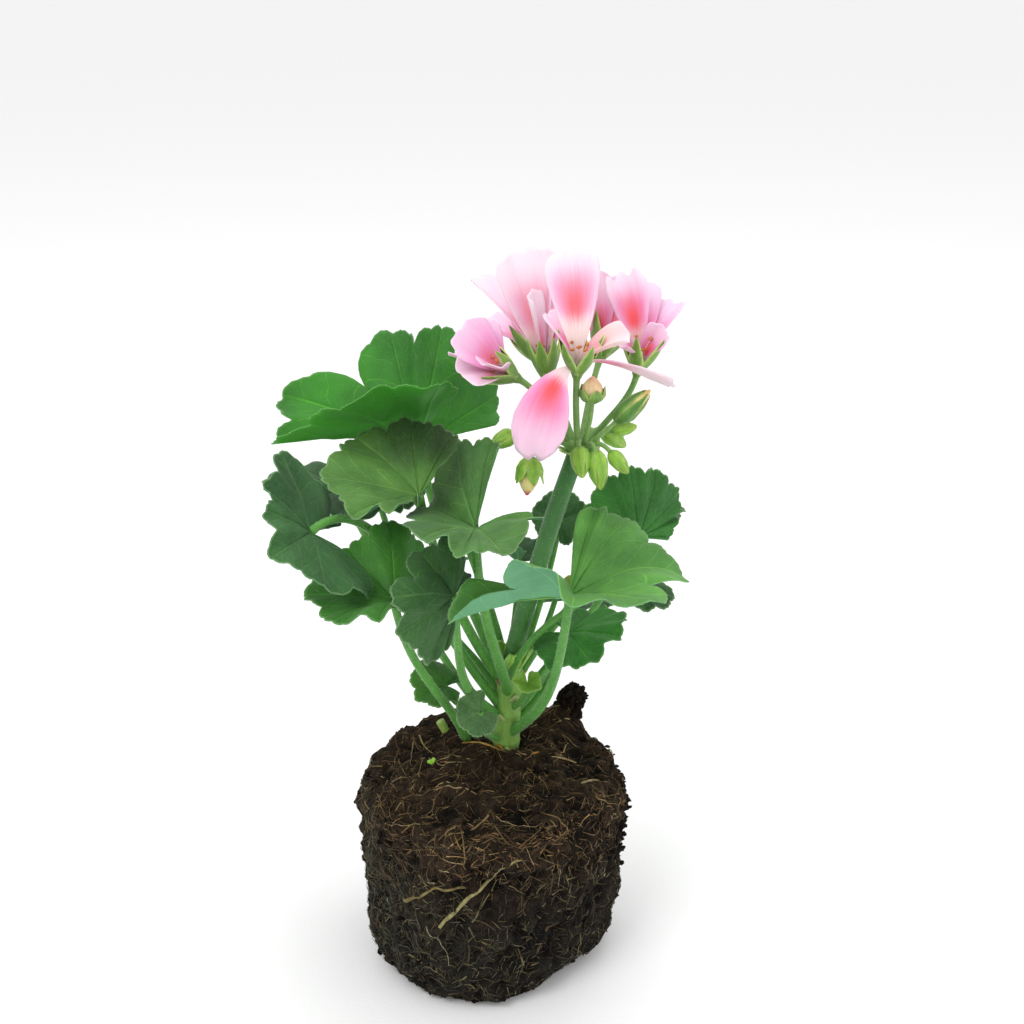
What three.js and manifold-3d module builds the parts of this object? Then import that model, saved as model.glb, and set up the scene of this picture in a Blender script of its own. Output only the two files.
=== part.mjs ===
// A young zonal pelargonium lifted out of its pot: a peat root ball, a short succulent stem, scalloped leaves on long
// petioles, and one umbel of pink florets and nodding buds on a stout flower stalk.
// Millimetres, +Z up. The origin is the middle of the flat base that the root ball stands on.
import * as THREE from "three";
import Module from "manifold-3d";

const wasm = await Module();
wasm.setup();

const rad = THREE.MathUtils.degToRad;
const vec = (x, y, z) => new THREE.Vector3(x, y, z);
const point = ([x, y, z]) => vec(x, y, z);
const blend = (a, b, t) => a + (b - a) * t;

// Driving dimensions
const GAP = 0.3; // between two pieces that touch
const BALL = { rim: 54.5, base: 51, flat: 44, height: 80, crown: 6 };
const STEM = { foot: [5, 12, 74], top: [9, 9, 126], footRadius: 6.2, topRadius: 4.6, sides: 9 };
const BLADE_HALF_THICKNESS = 0.42;
const PETAL_HALF_THICKNESS = 0.35;
const SEPAL = { length: 11.5, halfWidth: 2.1, spread: 24 };
const PETIOLE = { footRadius: 2.3, tipRadius: 1.6, sides: 5, steps: 6 };
const SINUS = 164; // degrees from a leaf's midrib to each edge of its basal notch
const STUB = { foot: [-14.6, 20, 80], top: [-21.2, 20, 93.4], radius: 1.9 }; // of a petiole cut off short
const STALK = { path: [[14, 5, 150], [24, 1, 188], [34, -5, 222]], radius: 3.3, sides: 8 };

// Repeatable draws between -1 and 1
function drawer(seed) {
  let state = seed;
  return () => {
    state = (state * 1664525 + 1013904223) % 4294967296;
    return state / 2147483648 - 1;
  };
}

// Solids

function solid(points, triangles) {
  const vertProperties = new Float32Array(points.flatMap((p) => [p.x, p.y, p.z]));
  return new wasm.Manifold(new wasm.Mesh({ numProp: 3, vertProperties, triVerts: new Uint32Array(triangles.flat()) }));
}

const fuse = (solids) => solids.reduce((all, next) => all.add(next));

// The largest body left after the cutters are taken away
function cutClear(body, cutters) {
  const rest = cutters.reduce((left, cutter) => left.subtract(cutter), body);
  return rest.decompose().reduce((a, b) => (b.volume() > a.volume() ? b : a)).simplify(0.01);
}

// A sheet of even thickness round a triangulated middle surface
function sheet(points, triangles, half) {
  const normals = points.map(() => vec(0, 0, 0));
  const edges = new Map();
  for (const [a, b, c] of triangles) {
    const n = points[b].clone().sub(points[a]).cross(points[c].clone().sub(points[a]));
    for (const i of [a, b, c]) normals[i].add(n);
    for (const [i, j] of [[a, b], [b, c], [c, a]]) {
      if (!edges.delete(`${j} ${i}`)) edges.set(`${i} ${j}`, [i, j]);
    }
  }
  normals.forEach((n) => n.setLength(half));
  const count = points.length;
  const both = [
    ...points.map((p, i) => p.clone().add(normals[i])),
    ...points.map((p, i) => p.clone().sub(normals[i])),
  ];
  const faces = triangles.flatMap(([a, b, c]) => [[a, b, c], [c + count, b + count, a + count]]);
  const rim = [...edges.values()].flatMap(([a, b]) => [[b, a, a + count], [b, a + count, b + count]]);
  return solid(both, [...faces, ...rim]);
}

// A tube through points, one radius for each, with flat ends; squeeze flattens it at right angles to flat
function sweep(path, radii, sides, squeeze = 1, flat = null) {
  const tangents = path.map((p, i) => (path[i + 1] ?? p).clone().sub(path[i - 1] ?? p).normalize());
  let side = flat ? flat.clone() : Math.abs(tangents[0].z) < 0.9 ? vec(0, 0, 1) : vec(1, 0, 0);
  const rings = path.map((p, i) => {
    side = side.clone().addScaledVector(tangents[i], -side.dot(tangents[i])).normalize();
    const up = tangents[i].clone().cross(side);
    return Array.from({ length: sides }, (_, k) => {
      const a = (2 * Math.PI * k) / sides;
      return p.clone()
        .addScaledVector(side, radii[i] * Math.cos(a))
        .addScaledVector(up, radii[i] * squeeze * Math.sin(a));
    });
  });
  const last = path.length - 1;
  const triangles = [];
  for (let i = 0; i < last; i++) {
    for (let k = 0; k < sides; k++) {
      const [a, b] = [i * sides + k, i * sides + ((k + 1) % sides)];
      triangles.push([a, b, b + sides], [a, b + sides, a + sides]);
    }
  }
  for (let k = 1; k < sides - 1; k++) {
    triangles.push([0, k + 1, k], [last * sides, last * sides + k, last * sides + k + 1]);
  }
  return solid(rings.flat(), triangles);
}

const taper = (steps, start, end) => Array.from({ length: steps + 1 }, (_, i) => blend(start, end, i / steps));
const smooth = (points, steps) => new THREE.CatmullRomCurve3(points).getPoints(steps);

// A unit vector from a compass direction and a rise in degrees
function heading([compass, rise]) {
  const level = Math.cos(rad(rise));
  return vec(level * Math.cos(rad(compass)), level * Math.sin(rad(compass)), Math.sin(rad(rise)));
}

// Leaves

// Each leaf has where its petiole meets the blade, its radius, and the compass direction and rise of each lobe in
// turn, anticlockwise from one edge of the basal notch to the other. sizes scales the lobes, clefts is how deep the
// margin cuts in between them, curls bends their outer halves up (+) or down (-), and edges is the direction and rise
// of the notch's own edges. foot is the share of the stem's height that the petiole leaves from, start a place of its
// own in the peat; leave and arrive are the petiole's directions at its two ends.
const LEAVES = [
  { name: "leaf_01", at: [-29, 28, 213], radius: 54, foot: 0.72, leave: [-0.5, 0.35, 0.8],
    lobes: [[42, 15], [70, 54], [110, 47], [172, 20], [200, 8], [232, 32], [290, 48]],
    sizes: [1, 1, 0.97, 1.07, 1.07, 1, 1], clefts: [0.1, 0.2, 0.4, 0.12, 0.1, 0.15] },
  { name: "leaf_02", at: [-26, -15, 206], radius: 38, foot: 0.66, leave: [-0.55, -0.1, 0.8],
    lobes: [[62, 34], [99, 38], [138, 28], [195, 18], [233, 8], [256, 11], [268, 14]],
    sizes: [1, 1, 1, 1, 1, 0.88, 0.5] },
  { name: "leaf_03", at: [-4, -44, 204], radius: 41, foot: 0.6, leave: [-0.1, -0.62, 0.78], arrive: [0, 0, 1],
    lobes: [[75, 50], [105, 34], [125, -3], [240, 14], [265, 9], [285, 9], [380, 8]],
    sizes: [1, 1, 0.85, 0.9, 1, 0.95, 0.65], clefts: [0.1, 0.1, 0.45, 0.08, 0.08, 0.3] },
  { name: "leaf_04", at: [-63, -50, 205], radius: 34, foot: 0.4, leave: [-0.7, -0.15, 0.85], arrive: [-0.5, -0.83, -0.24],
    lobes: [[72, 0], [135, 62], [205, 52], [228, 35], [250, 2], [290, -27], [355, -46]],
    sizes: [0.75, 0.95, 0.72, 0.7, 0.8, 0.8, 1.1] },
  { name: "leaf_05", at: [-34, -45, 176], radius: 33, start: [-8, 19, 76], leave: [-0.1, -0.4, 0.9],
    lobes: [[50, -10], [70, 18], [97, 46], [140, 32], [187, 10], [230, 5], [262, 12]],
    sizes: [1, 1, 1, 0.85, 1, 1, 1] },
  { name: "leaf_06", at: [-12, -54, 182], radius: 28, foot: 0.3, leave: [-0.6, -0.4, 0.6],
    lobes: [[75, 18], [90, 42], [122, 20], [212, 12], [228, -14], [240, -50], [252, -65]],
    sizes: [0.7, 1, 1, 0.9, 1, 1, 0.85], clefts: [0.2, 0.2, 0.45, 0.1, 0.1, 0.1] },
  { name: "leaf_07", at: [30, -50, 180], radius: 46, foot: 0.12, leave: [0.5, -0.55, 0.6], arrive: [0.12, -0.1, 1],
    lobes: [[202, 0], [236, 38], [270, 22], [308, 17], [368, 22], [408, 38], [430, 40]],
    sizes: [1.2, 0.95, 1, 1, 1, 1, 1], clefts: [0.45, 0.1, 0.1, 0.3, 0.1, 0.1],
    curls: [0, 0, 0, 0, -50, -40, 0], edges: [[186, 18], [442, 38]] },
  { name: "leaf_08", at: [60, 20, 176], radius: 29, foot: 0.6, leave: [0.4, 0.8, 0.6], arrive: [0.6, -0.35, 0.75],
    lobes: [[25, -8], [40, 8], [45, 28], [62, 56], [115, 70], [150, 52], [165, 12]],
    sizes: [0.6, 0.85, 1, 1, 1, 1, 1] },
  { name: "leaf_09", at: [32, 4, 141], radius: 24, foot: 0.2, leave: [0.7, 0.15, 0.5], ruffle: 0.1,
    lobes: [[185, -8], [250, -18], [288, -6], [326, 14], [376, 15], [420, 6], [470, 2]],
    sizes: [0.68, 0.95, 1, 1, 1, 0.9, 0.72], edges: [[172, -6], [488, 2]] },
  { name: "leaf_10", at: [-17, 10, 117], radius: 15, foot: 0.2, coarse: true, leave: [-0.8, 0, 0.5],
    lobes: [[60, -5], [95, 15], [148, 34], [190, 20], [222, -5], [258, -10], [295, 0]] },
  { name: "leaf_11", at: [12, 30, 161], radius: 17, foot: 0.75, coarse: true, leave: [0, 0.6, 0.8], arrive: [0, 0, 1],
    lobes: [[0, 20], [45, 20], [80, 20], [125, 25], [170, 35], [215, 48], [270, 50]] },
  { name: "leaf_12", at: [29, 45, 174], radius: 13, foot: 0.42, coarse: true, leave: [0.2, 0.85, 0.5],
    lobes: [[-70, -50], [-35, -10], [5, 20], [50, 55], [115, 60], [165, 15], [215, -30]] },
  { name: "leaf_13", at: [-57, 18, 196], radius: 33, foot: 0.5, coarse: true, leave: [-0.5, 0.5, 0.6],
    lobes: [[50, -5], [90, 0], [135, 5], [195, 12], [240, 10], [280, 0], [325, 0]] },
  { name: "leaf_14", at: [59, -18, 170], radius: 13, foot: 0.7, coarse: true, leave: [-0.1, -0.55, 0.8],
    arrive: [0.9, -0.4, 0.1],
    lobes: [[180, 0], [225, -10], [270, -20], [315, -20], [360, -15], [405, -5], [450, 0]] },
  { name: "leaf_15", at: [-4, -18, 113], radius: 10, foot: 0.05, coarse: true, leave: [-0.5, -0.6, 0.5],
    lobes: [[80, 60], [130, 50], [160, 20], [200, -20], [250, -60], [330, -60], [380, -30]] },
  { name: "leaf_16", at: [-26, 67, 214], radius: 28, foot: 0.62, coarse: true, leave: [-0.1, 0.6, 0.8],
    lobes: [[-50, 5], [0, 8], [45, 8], [95, 10], [140, 0], [190, 0], [235, 5]] },
  { name: "leaf_17", at: [-47, 54, 180], radius: 22, foot: 0.38, coarse: true, leave: [-0.5, 0.55, 0.7],
    lobes: [[-40, 5], [10, 8], [60, -5], [110, -15], [155, -10], [200, 0], [245, 5]] },
  { name: "leaf_18", at: [63, 58, 171], radius: 20, foot: 0.35, coarse: true, leave: [0.6, 0.4, 0.7],
    lobes: [[-90, 5], [-40, 8], [5, 8], [55, 0], [100, -10], [150, 0], [195, 5]] },
  { name: "leaf_19", at: [-36, 54, 148], radius: 28, foot: 0.1, coarse: true, leave: [-0.6, 0.6, 0.4],
    lobes: [[-35, 5], [10, 8], [55, -5], [100, -15], [145, -10], [190, 0], [235, 5]] },
  { name: "leaf_20", at: [36, 58, 132], radius: 20, foot: 0.05, coarse: true, leave: [0.4, 0.7, 0.5],
    lobes: [[-90, 5], [-40, 8], [5, 0], [60, -10], [100, -10], [150, 0], [195, 5]] },
  { name: "leaf_21", at: [15, -4, 122], radius: 7, foot: 0.45, coarse: true, leave: [0.5, -0.8, 0.4],
    lobes: [[150, 60], [175, 75], [200, 30], [260, 0], [320, 5], [370, 50], [400, 65]] },
  { name: "leaf_22", at: [28, 12, 158], radius: 9, foot: 0.72, coarse: true, leave: [0.65, -0.1, 0.75],
    lobes: [[100, 20], [150, 30], [200, 20], [250, 0], [300, 0], [350, 10], [400, 20]] },
];

// A value between those of neighbouring lobes, at a position counted in lobes from the first
function between(values, position) {
  const i = Math.max(0, Math.min(values.length - 1, position));
  return blend(values[Math.floor(i)], values[Math.ceil(i)], i % 1);
}

// The margin's distance from the petiole, as a share of the leaf's radius, at an angle in degrees from the midrib
function margin(leaf, angle) {
  const position = (3.5 * angle) / SINUS + 3;
  const cleft = (leaf.clefts ?? [])[Math.floor(position)] ?? 0.1;
  const kidney = 1 - 0.24 * Math.abs(angle / SINUS) ** 3;
  const lobes = 1 - cleft * (1 - Math.abs(Math.cos(Math.PI * position)) ** 0.7);
  const teeth = 1 + 0.04 * (Math.abs(Math.sin(4 * Math.PI * position)) - 0.6);
  return kidney * lobes * teeth * (leaf.sizes ? between(leaf.sizes, position) : 1);
}

// The direction that the blade leaves the petiole in, at a position counted in lobes from the first
function lobeDirection(leaf, position) {
  const lobes = leaf.lobes.map(heading);
  const last = lobes.length - 1;
  const mirror = (edge, inner) => edge.clone().multiplyScalar(2).sub(inner).normalize();
  const [first, final] = (leaf.edges ?? []).map(heading);
  const knots = [first ? mirror(first, lobes[0]) : mirror(lobes[0], lobes[1]), ...lobes,
    final ? mirror(final, lobes[last]) : mirror(lobes[last], lobes[last - 1])];
  const i = Math.max(0, Math.min(last + 1, Math.floor(position + 1)));
  const t = Math.max(-0.5, Math.min(1.5, position + 1 - i));
  const a = knots[i];
  const b = knots[i + 1] ?? mirror(a, knots[i - 1]);
  const slopeA = b.clone().sub(knots[i - 1] ?? mirror(a, b)).multiplyScalar(0.5);
  const slopeB = (knots[i + 2] ?? mirror(b, a)).clone().sub(a).multiplyScalar(0.5);
  const [t2, t3] = [t * t, t * t * t];
  return a.clone().multiplyScalar(2 * t3 - 3 * t2 + 1)
    .addScaledVector(slopeA, t3 - 2 * t2 + t)
    .addScaledVector(b, 3 * t2 - 2 * t3)
    .addScaledVector(slopeB, t3 - t2)
    .normalize();
}

// A point of the blade's middle surface at an angle in degrees and a share of the way to the margin
function bladePoint(leaf, angle, share) {
  const position = (3.5 * angle) / SINUS + 3;
  const out = lobeDirection(leaf, position);
  const onward = lobeDirection(leaf, position + 0.05).sub(lobeDirection(leaf, position - 0.05));
  const upper = out.clone().cross(onward).normalize();
  const curl = leaf.curls ? rad(between(leaf.curls, position)) : 0;
  const arch = rad(10);
  const reach = leaf.radius * margin(leaf, angle);
  const steps = 8;
  let [along, above] = [0, 0];
  for (let i = 0; i < steps; i++) {
    const s = (share * (i + 0.5)) / steps;
    const slope = arch * (1 - 2 * s) + curl * Math.max(0, (s - 0.4) / 0.6);
    along += (reach * share * Math.cos(slope)) / steps;
    above += (reach * share * Math.sin(slope)) / steps;
  }
  const lobe = (2 * Math.PI * 3.5 * angle) / SINUS;
  above -= 0.035 * leaf.radius * share ** 1.5 * Math.cos(lobe);
  above += (leaf.ruffle ?? 0.03) * leaf.radius * share ** 3 * Math.sin(1.5 * lobe + leaf.radius);
  return point(leaf.at).addScaledVector(out, along).addScaledVector(upper, above);
}

const stemAt = (share) => point(STEM.foot).lerp(point(STEM.top), share);

// From the stem's middle out to the blade, rising as it goes
function petiolePath(leaf) {
  const foot = leaf.start ? point(leaf.start) : stemAt(blend(0.25, 1, leaf.foot));
  const tip = point(leaf.at);
  const outward = tip.clone().sub(foot).setZ(0).normalize();
  const reach = foot.distanceTo(tip);
  const leave = leaf.leave ? point(leaf.leave).normalize() : outward.clone().multiplyScalar(0.6).add(vec(0, 0, 0.8));
  const arrive = leaf.arrive ? point(leaf.arrive).normalize()
    : outward.clone().multiplyScalar(0.25).add(vec(0, 0, 0.95)).normalize();
  return new THREE.CubicBezierCurve3(
    foot,
    foot.clone().addScaledVector(leave, 0.33 * reach),
    tip.clone().addScaledVector(arrive, -0.33 * reach),
    tip,
  ).getPoints(PETIOLE.steps);
}

function petioleSolid(leaf, grow = 0) {
  const size = Math.min(1, 0.55 + leaf.radius / 90);
  const radii = taper(PETIOLE.steps, PETIOLE.footRadius * size + grow, PETIOLE.tipRadius * size + grow);
  const path = petiolePath(leaf);
  path[0].z -= grow;
  return sweep(path, radii, PETIOLE.sides);
}

function leafSolid(leaf) {
  const rings = leaf.coarse
    ? [{ share: 0.5, count: 14 }, { share: 1, count: 28 }]
    : [{ share: 0.4, count: 14 }, { share: 0.75, count: 28 }, { share: 1, count: 56 }];
  const points = [point(leaf.at)];
  const triangles = [];
  for (const [k, { share, count }] of rings.entries()) {
    const first = points.length;
    for (let j = 0; j <= count; j++) points.push(bladePoint(leaf, blend(-SINUS, SINUS, j / count), share));
    const inner = first - count / 2 - 1;
    for (let j = 0; j < count; j++) {
      if (k === 0) triangles.push([0, first + j, first + j + 1]);
    }
    for (let j = 0; k > 0 && j < count / 2; j++) {
      const [c, f] = [inner + j, first + 2 * j];
      triangles.push([c, f, f + 1], [c, f + 1, c + 1], [c + 1, f + 1, f + 2]);
    }
  }
  const blade = sheet(points, triangles, BLADE_HALF_THICKNESS);
  return cutClear(blade.add(petioleSolid(leaf)), leaf.start ? [] : [stemSolid(GAP)]);
}

function stemSolid(grow = 0) {
  const steps = 4;
  const path = taper(steps, 0, 1 + grow / 52).map((t) => stemAt(t));
  return sweep(path, taper(steps, STEM.footRadius + grow, STEM.topRadius + grow), STEM.sides);
}

function stubSolid(grow = 0) {
  const [foot, top] = [point(STUB.foot), point(STUB.top)];
  const along = top.clone().sub(foot).normalize();
  const path = [foot.clone().addScaledVector(along, -grow), foot.clone().lerp(top, 0.6), top];
  return sweep(path, [STUB.radius, STUB.radius, 0.9 * STUB.radius].map((r) => r + grow), 7);
}

// Root ball

const BALL_SIDES = 30;

// Rings of points from the edge of the flat base to the crown round the stem
function ballRings() {
  const { rim, base, flat, height, crown } = BALL;
  const draw = drawer(7);
  const profile = [[0, flat], [3, base - 4], [10, base], [26, blend(base, rim, 0.35)], [42, blend(base, rim, 0.6)],
    [58, blend(base, rim, 0.85)], [72, rim], [height - 1, rim - 4], [height + 0.4 * crown, 0.66 * rim],
    [height + crown, 0.3 * rim]];
  return profile.map(([z, r], level) => Array.from({ length: BALL_SIDES }, (_, k) => {
    const a = (2 * Math.PI * k) / BALL_SIDES;
    const lump = level === 0 ? 0 : 1.1 * draw() + 0.9 * Math.sin(3 * a + 1.1) + 0.7 * Math.sin(5 * a + z / 11);
    const chipped = Math.max(0, Math.cos(a + rad(38))) ** 5 * Math.max(0, 1 - z / 36) * 8;
    const reach = r + lump - chipped;
    return vec(reach * Math.cos(a), reach * Math.sin(a), level === 0 ? 0 : z + 0.8 * draw());
  }));
}

// A point on the ball's side at a compass direction and a height
function onBall(rings, [compass, z]) {
  const k = (compass / 360) * BALL_SIDES;
  const rows = rings.map((ring) => {
    const [a, b] = [ring[Math.floor(k) % BALL_SIDES], ring[Math.ceil(k) % BALL_SIDES]];
    return a.clone().lerp(b, k % 1);
  });
  const above = Math.max(1, rows.findIndex((p) => p.z > z));
  const t = (z - rows[above - 1].z) / (rows[above].z - rows[above - 1].z);
  return rows[above - 1].clone().lerp(rows[above], t);
}

// Thick roots that run half sunk over the ball's side: compass direction and height along each
const ROOTS = [
  [[249, 40], [257, 48], [264, 57], [271, 63], [276, 69], [284, 71]],
  [[231, 45], [247, 57], [261, 59]],
  [[292, 22], [300, 34], [311, 40], [318, 52]],
  [[205, 66], [214, 54], [222, 50], [229, 36]],
  [[20, 30], [31, 44], [44, 49], [52, 62]],
  [[80, 60], [92, 48], [99, 34]],
  [[118, 24], [128, 40], [141, 47], [150, 61]],
];

function ballSolid() {
  const rings = ballRings();
  const points = rings.flat();
  const around = BALL_SIDES;
  const triangles = [];
  const last = rings.length - 1;
  for (let i = 0; i < last; i++) {
    for (let k = 0; k < around; k++) {
      const [a, b] = [i * around + k, i * around + ((k + 1) % around)];
      triangles.push([a, b, b + around], [a, b + around, a + around]);
    }
  }
  points.push(vec(0, 0, 0), vec(2, 4, BALL.height + BALL.crown + 0.5));
  const [under, over] = [points.length - 2, points.length - 1];
  for (let k = 0; k < around; k++) {
    const next = (k + 1) % around;
    triangles.push([under, next, k], [over, last * around + k, last * around + next]);
  }
  const roots = ROOTS.map((root) => {
    const path = root.map((place) => onBall(rings, place));
    return sweep(path, path.map((_, i) => 1.4 - (0.6 * i) / path.length), 4);
  });
  return fuse([solid(points, triangles), ...roots]);
}

// Flower head

const UMBEL = point(STALK.path.at(-1));

// Each floret has where its calyx starts, the way it faces, and its petals: how far and which way each tip lies from
// the calyx, which way its inner side looks, its half width, and how much it cups across
const FLORETS = [
  { name: "floret_1", base: [32.7, -18, 254], axis: [0.05, -0.25, 0.95], turn: 10, petals: [
    { tip: [-3, 2, 46], face: [0, -1, 0.1], half: 8.5, cup: 0.15 },
    { tip: [-14, -13, -29], face: [-0.1, -1, 0.3], half: 10.5, cup: 0.15 },
    { tip: [19, -4, 15], face: [-0.3, -0.3, 0.9], half: 6, cup: 0.7 },
    { tip: [35, -4, -3], face: [0.1, 0.35, 0.95], half: 6, cup: 0.1 },
    { tip: [-11, 6, 22], face: [0.6, -0.7, 0.3], half: 5, cup: 0.6 },
  ] },
  { name: "floret_2", base: [22.3, 5, 246], axis: [-0.1, -0.05, 1], turn: 0, petals: [
    { tip: [-11, 3, 50], face: [0.1, -1, 0], half: 9.5, cup: 0.25 },
    { tip: [-7, -5, 35], face: [0.9, -0.35, 0], half: 5, cup: 0.5 },
    { tip: [-2, 8, 44], face: [-0.7, -0.7, 0], half: 6, cup: 0.2 },
    { tip: [6, 11, 42], face: [-0.2, -1, 0], half: 7, cup: 0.2 },
    { tip: [-27, 16, 36], face: [0.4, -0.3, 0.6], half: 7, cup: 0.3 },
  ] },
  { name: "floret_3", base: [11, -8, 250], axis: [-0.8, -0.3, 0.5], turn: 20, petals: [
    { tip: [-22, -6, 20], face: [0.3, -0.8, 0.5], half: 9, cup: 0.4 },
    { tip: [-21, -13, 6], face: [0.1, 0.3, 0.95], half: 9, cup: 0.5 },
    { tip: [-15, 6, 20], face: [0.3, -0.5, 0.2], half: 7, cup: 0.3 },
    { tip: [-24, 8, 8], face: [0.3, -0.2, 0.9], half: 7, cup: 0.3 },
    { tip: [-10, -20, 10], face: [0.2, 0.4, 0.8], half: 6, cup: 0.4 },
  ] },
  { name: "floret_4", base: [56, 0, 250], axis: [0.15, -0.1, 1], turn: 30, petals: [
    { tip: [-7, 4, 39], face: [0.1, -1, 0.1], half: 7.5, cup: 0.25 },
    { tip: [10, -5, 18], face: [-0.5, -0.8, 0.2], half: 5, cup: 0.6 },
    { tip: [-9, -7, 14], face: [0.5, -0.2, 0.6], half: 5, cup: 0.5 },
    { tip: [15, 14, 24], face: [-0.6, -0.6, 0.4], half: 7, cup: 0.3 },
    { tip: [2, 19, 30], face: [0, -1, 0.2], half: 7, cup: 0.3 },
  ] },
  { name: "floret_5", base: [43, 20, 250], axis: [0.3, 0.5, 0.8], turn: 50, petals: [
    { tip: [-6, 6, 32], face: [0.2, -0.9, 0.2], half: 8, cup: 0.25 },
    { tip: [10, 10, 30], face: [-0.4, -0.8, 0.3], half: 7, cup: 0.3 },
    { tip: [20, 18, 14], face: [-0.4, -0.4, 0.8], half: 8, cup: 0.3 },
    { tip: [2, 26, 16], face: [0, -0.5, 0.9], half: 8, cup: 0.3 },
    { tip: [-14, 18, 20], face: [0.5, -0.5, 0.7], half: 7, cup: 0.3 },
  ] },
  { name: "floret_6", base: [20, 26, 247], axis: [-0.3, 0.6, 0.7], turn: 70, petals: [
    { tip: [2, 6, 35], face: [0, -0.9, 0.2], half: 8, cup: 0.25 },
    { tip: [-14, 8, 30], face: [0.5, -0.8, 0.3], half: 7, cup: 0.3 },
    { tip: [-22, 18, 12], face: [0.4, -0.4, 0.8], half: 8, cup: 0.3 },
    { tip: [-4, 28, 14], face: [0, -0.5, 0.9], half: 8, cup: 0.3 },
    { tip: [12, 18, 22], face: [-0.5, -0.5, 0.7], half: 7, cup: 0.3 },
  ] },
];

// Buds hang or stand round the umbel: foot and tip of each, and its greatest radius
const BUDS = [
  { foot: [38.5, -15, 243], tip: [38.5, -16, 253], radius: 4.6 },
  { foot: [48, -10, 234], tip: [60, -13, 247], radius: 3.6 },
  { foot: [16, -20, 223], tip: [14.5, -22, 209], radius: 4.6 },
  { foot: [10, -10, 229], tip: [2, -13, 226], radius: 2.6 },
  { foot: [40, -15, 224], tip: [42, -17, 211], radius: 3 },
  { foot: [34, -16, 226], tip: [35, -19, 216], radius: 2.8 },
  { foot: [46, -10, 222], tip: [52, -12, 215], radius: 2.2 },
  { foot: [47, -6, 229], tip: [55, -7, 231], radius: 1.9 },
  { foot: [44, 4, 226], tip: [52, 8, 219], radius: 2.6 },
  { foot: [38, 10, 224], tip: [41, 18, 213], radius: 3 },
  { foot: [28, 9, 225], tip: [24, 17, 216], radius: 2.6 },
  { foot: [24, 4, 226], tip: [15, 8, 221], radius: 2.4 },
];

function petalSolid(floret, { tip, face, half, cup }, grow) {
  const axis = point(floret.axis).normalize();
  const end = point(tip);
  const start = end.clone().addScaledVector(axis, -end.dot(axis)).setLength(0.8).addScaledVector(axis, 3.6);
  const bow = start.clone().addScaledVector(axis, 0.22 * end.length()).addScaledVector(end, 0.12);
  const spine = new THREE.QuadraticBezierCurve3(start, bow, end);
  const shares = [0, 0.2, 0.5, 0.8, 1];
  const widths = [0.14, 0.25, 0.78, 1, 0.66];
  const across = [-1, 0, 1];
  const points = [];
  for (const [i, share] of shares.entries()) {
    const tangent = spine.getTangent(share);
    const inner = point(face).addScaledVector(tangent, -point(face).dot(tangent)).normalize();
    const side = tangent.clone().cross(inner);
    for (const k of across) {
      const droop = -0.1 * end.length() * k * k * share ** 3;
      points.push(point(floret.base)
        .add(spine.getPoint(share))
        .addScaledVector(tangent, droop)
        .addScaledVector(side, half * widths[i] * k)
        .addScaledVector(inner, half * widths[i] * cup * k * k));
    }
  }
  const triangles = [];
  for (let i = 0; i < shares.length - 1; i++) {
    for (let k = 0; k < 2; k++) {
      const a = 3 * i + k;
      triangles.push([a, a + 3, a + 1], [a + 1, a + 3, a + 4]);
    }
  }
  return sheet(points, triangles, PETAL_HALF_THICKNESS + grow);
}

function corollaSolid(floret, grow = 0) {
  const axis = point(floret.axis).normalize();
  const base = point(floret.base);
  const heart = sweep([base.clone().addScaledVector(axis, 2.6 - grow), base.clone().addScaledVector(axis, 5.6)],
    [1.2 + grow, 1.2 + grow], 6);
  return fuse([heart, ...floret.petals.map((petal) => petalSolid(floret, petal, grow))]);
}

function calyxSolid(floret) {
  const axis = point(floret.axis).normalize();
  const base = point(floret.base);
  const level = Math.abs(axis.z) > 0.9 ? vec(1, 0, 0) : vec(0, 0, 1);
  const first = level.clone().addScaledVector(axis, -level.dot(axis)).normalize();
  const cup = sweep([base.clone().addScaledVector(axis, -1.5), base.clone().addScaledVector(axis, 2.2)], [1.3, 2.6], 6);
  const sepals = Array.from({ length: 5 }, (_, k) => {
    const out = first.clone().applyAxisAngle(axis, rad(floret.turn + 72 * k));
    const slant = axis.clone().multiplyScalar(Math.cos(rad(SEPAL.spread)))
      .addScaledVector(out, Math.sin(rad(SEPAL.spread)));
    const root = base.clone().addScaledVector(out, 2.1).addScaledVector(axis, 1);
    const path = [0, 0.45, 1].map((t) => root.clone().addScaledVector(slant, SEPAL.length * t)
      .addScaledVector(out, 1.2 * Math.sin(Math.PI * t)));
    return sweep(path, [1, SEPAL.halfWidth, 0.35], 4, 0.4, axis.clone().cross(out));
  });
  return fuse([cup, ...sepals]);
}

function budSolid({ foot, tip, radius }) {
  const [a, b] = [point(foot), point(tip)];
  const path = [0, 0.3, 0.65, 1].map((t) => a.clone().lerp(b, t));
  return sweep(path, [0.4, 1, 0.85, 0.14].map((r) => r * radius), 5);
}

// A pedicel from the umbel to a calyx or bud, leaving upward and ending along the way it faces
function pedicelSolid(end, facing, radius) {
  const reach = UMBEL.distanceTo(end);
  const rise = vec(end.x - UMBEL.x, end.y - UMBEL.y, 0).multiplyScalar(0.3).add(vec(0, 0, 0.3 * reach));
  const outward = vec(end.x - UMBEL.x, end.y - UMBEL.y, 0).setLength(3.6);
  const path = new THREE.CubicBezierCurve3(UMBEL.clone().add(outward), UMBEL.clone().add(outward).add(rise),
    end.clone().addScaledVector(facing, -0.35 * reach), end.clone().addScaledVector(facing, 0.6)).getPoints(3);
  return sweep(path, taper(3, radius * 1.1, radius), 4);
}

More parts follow.
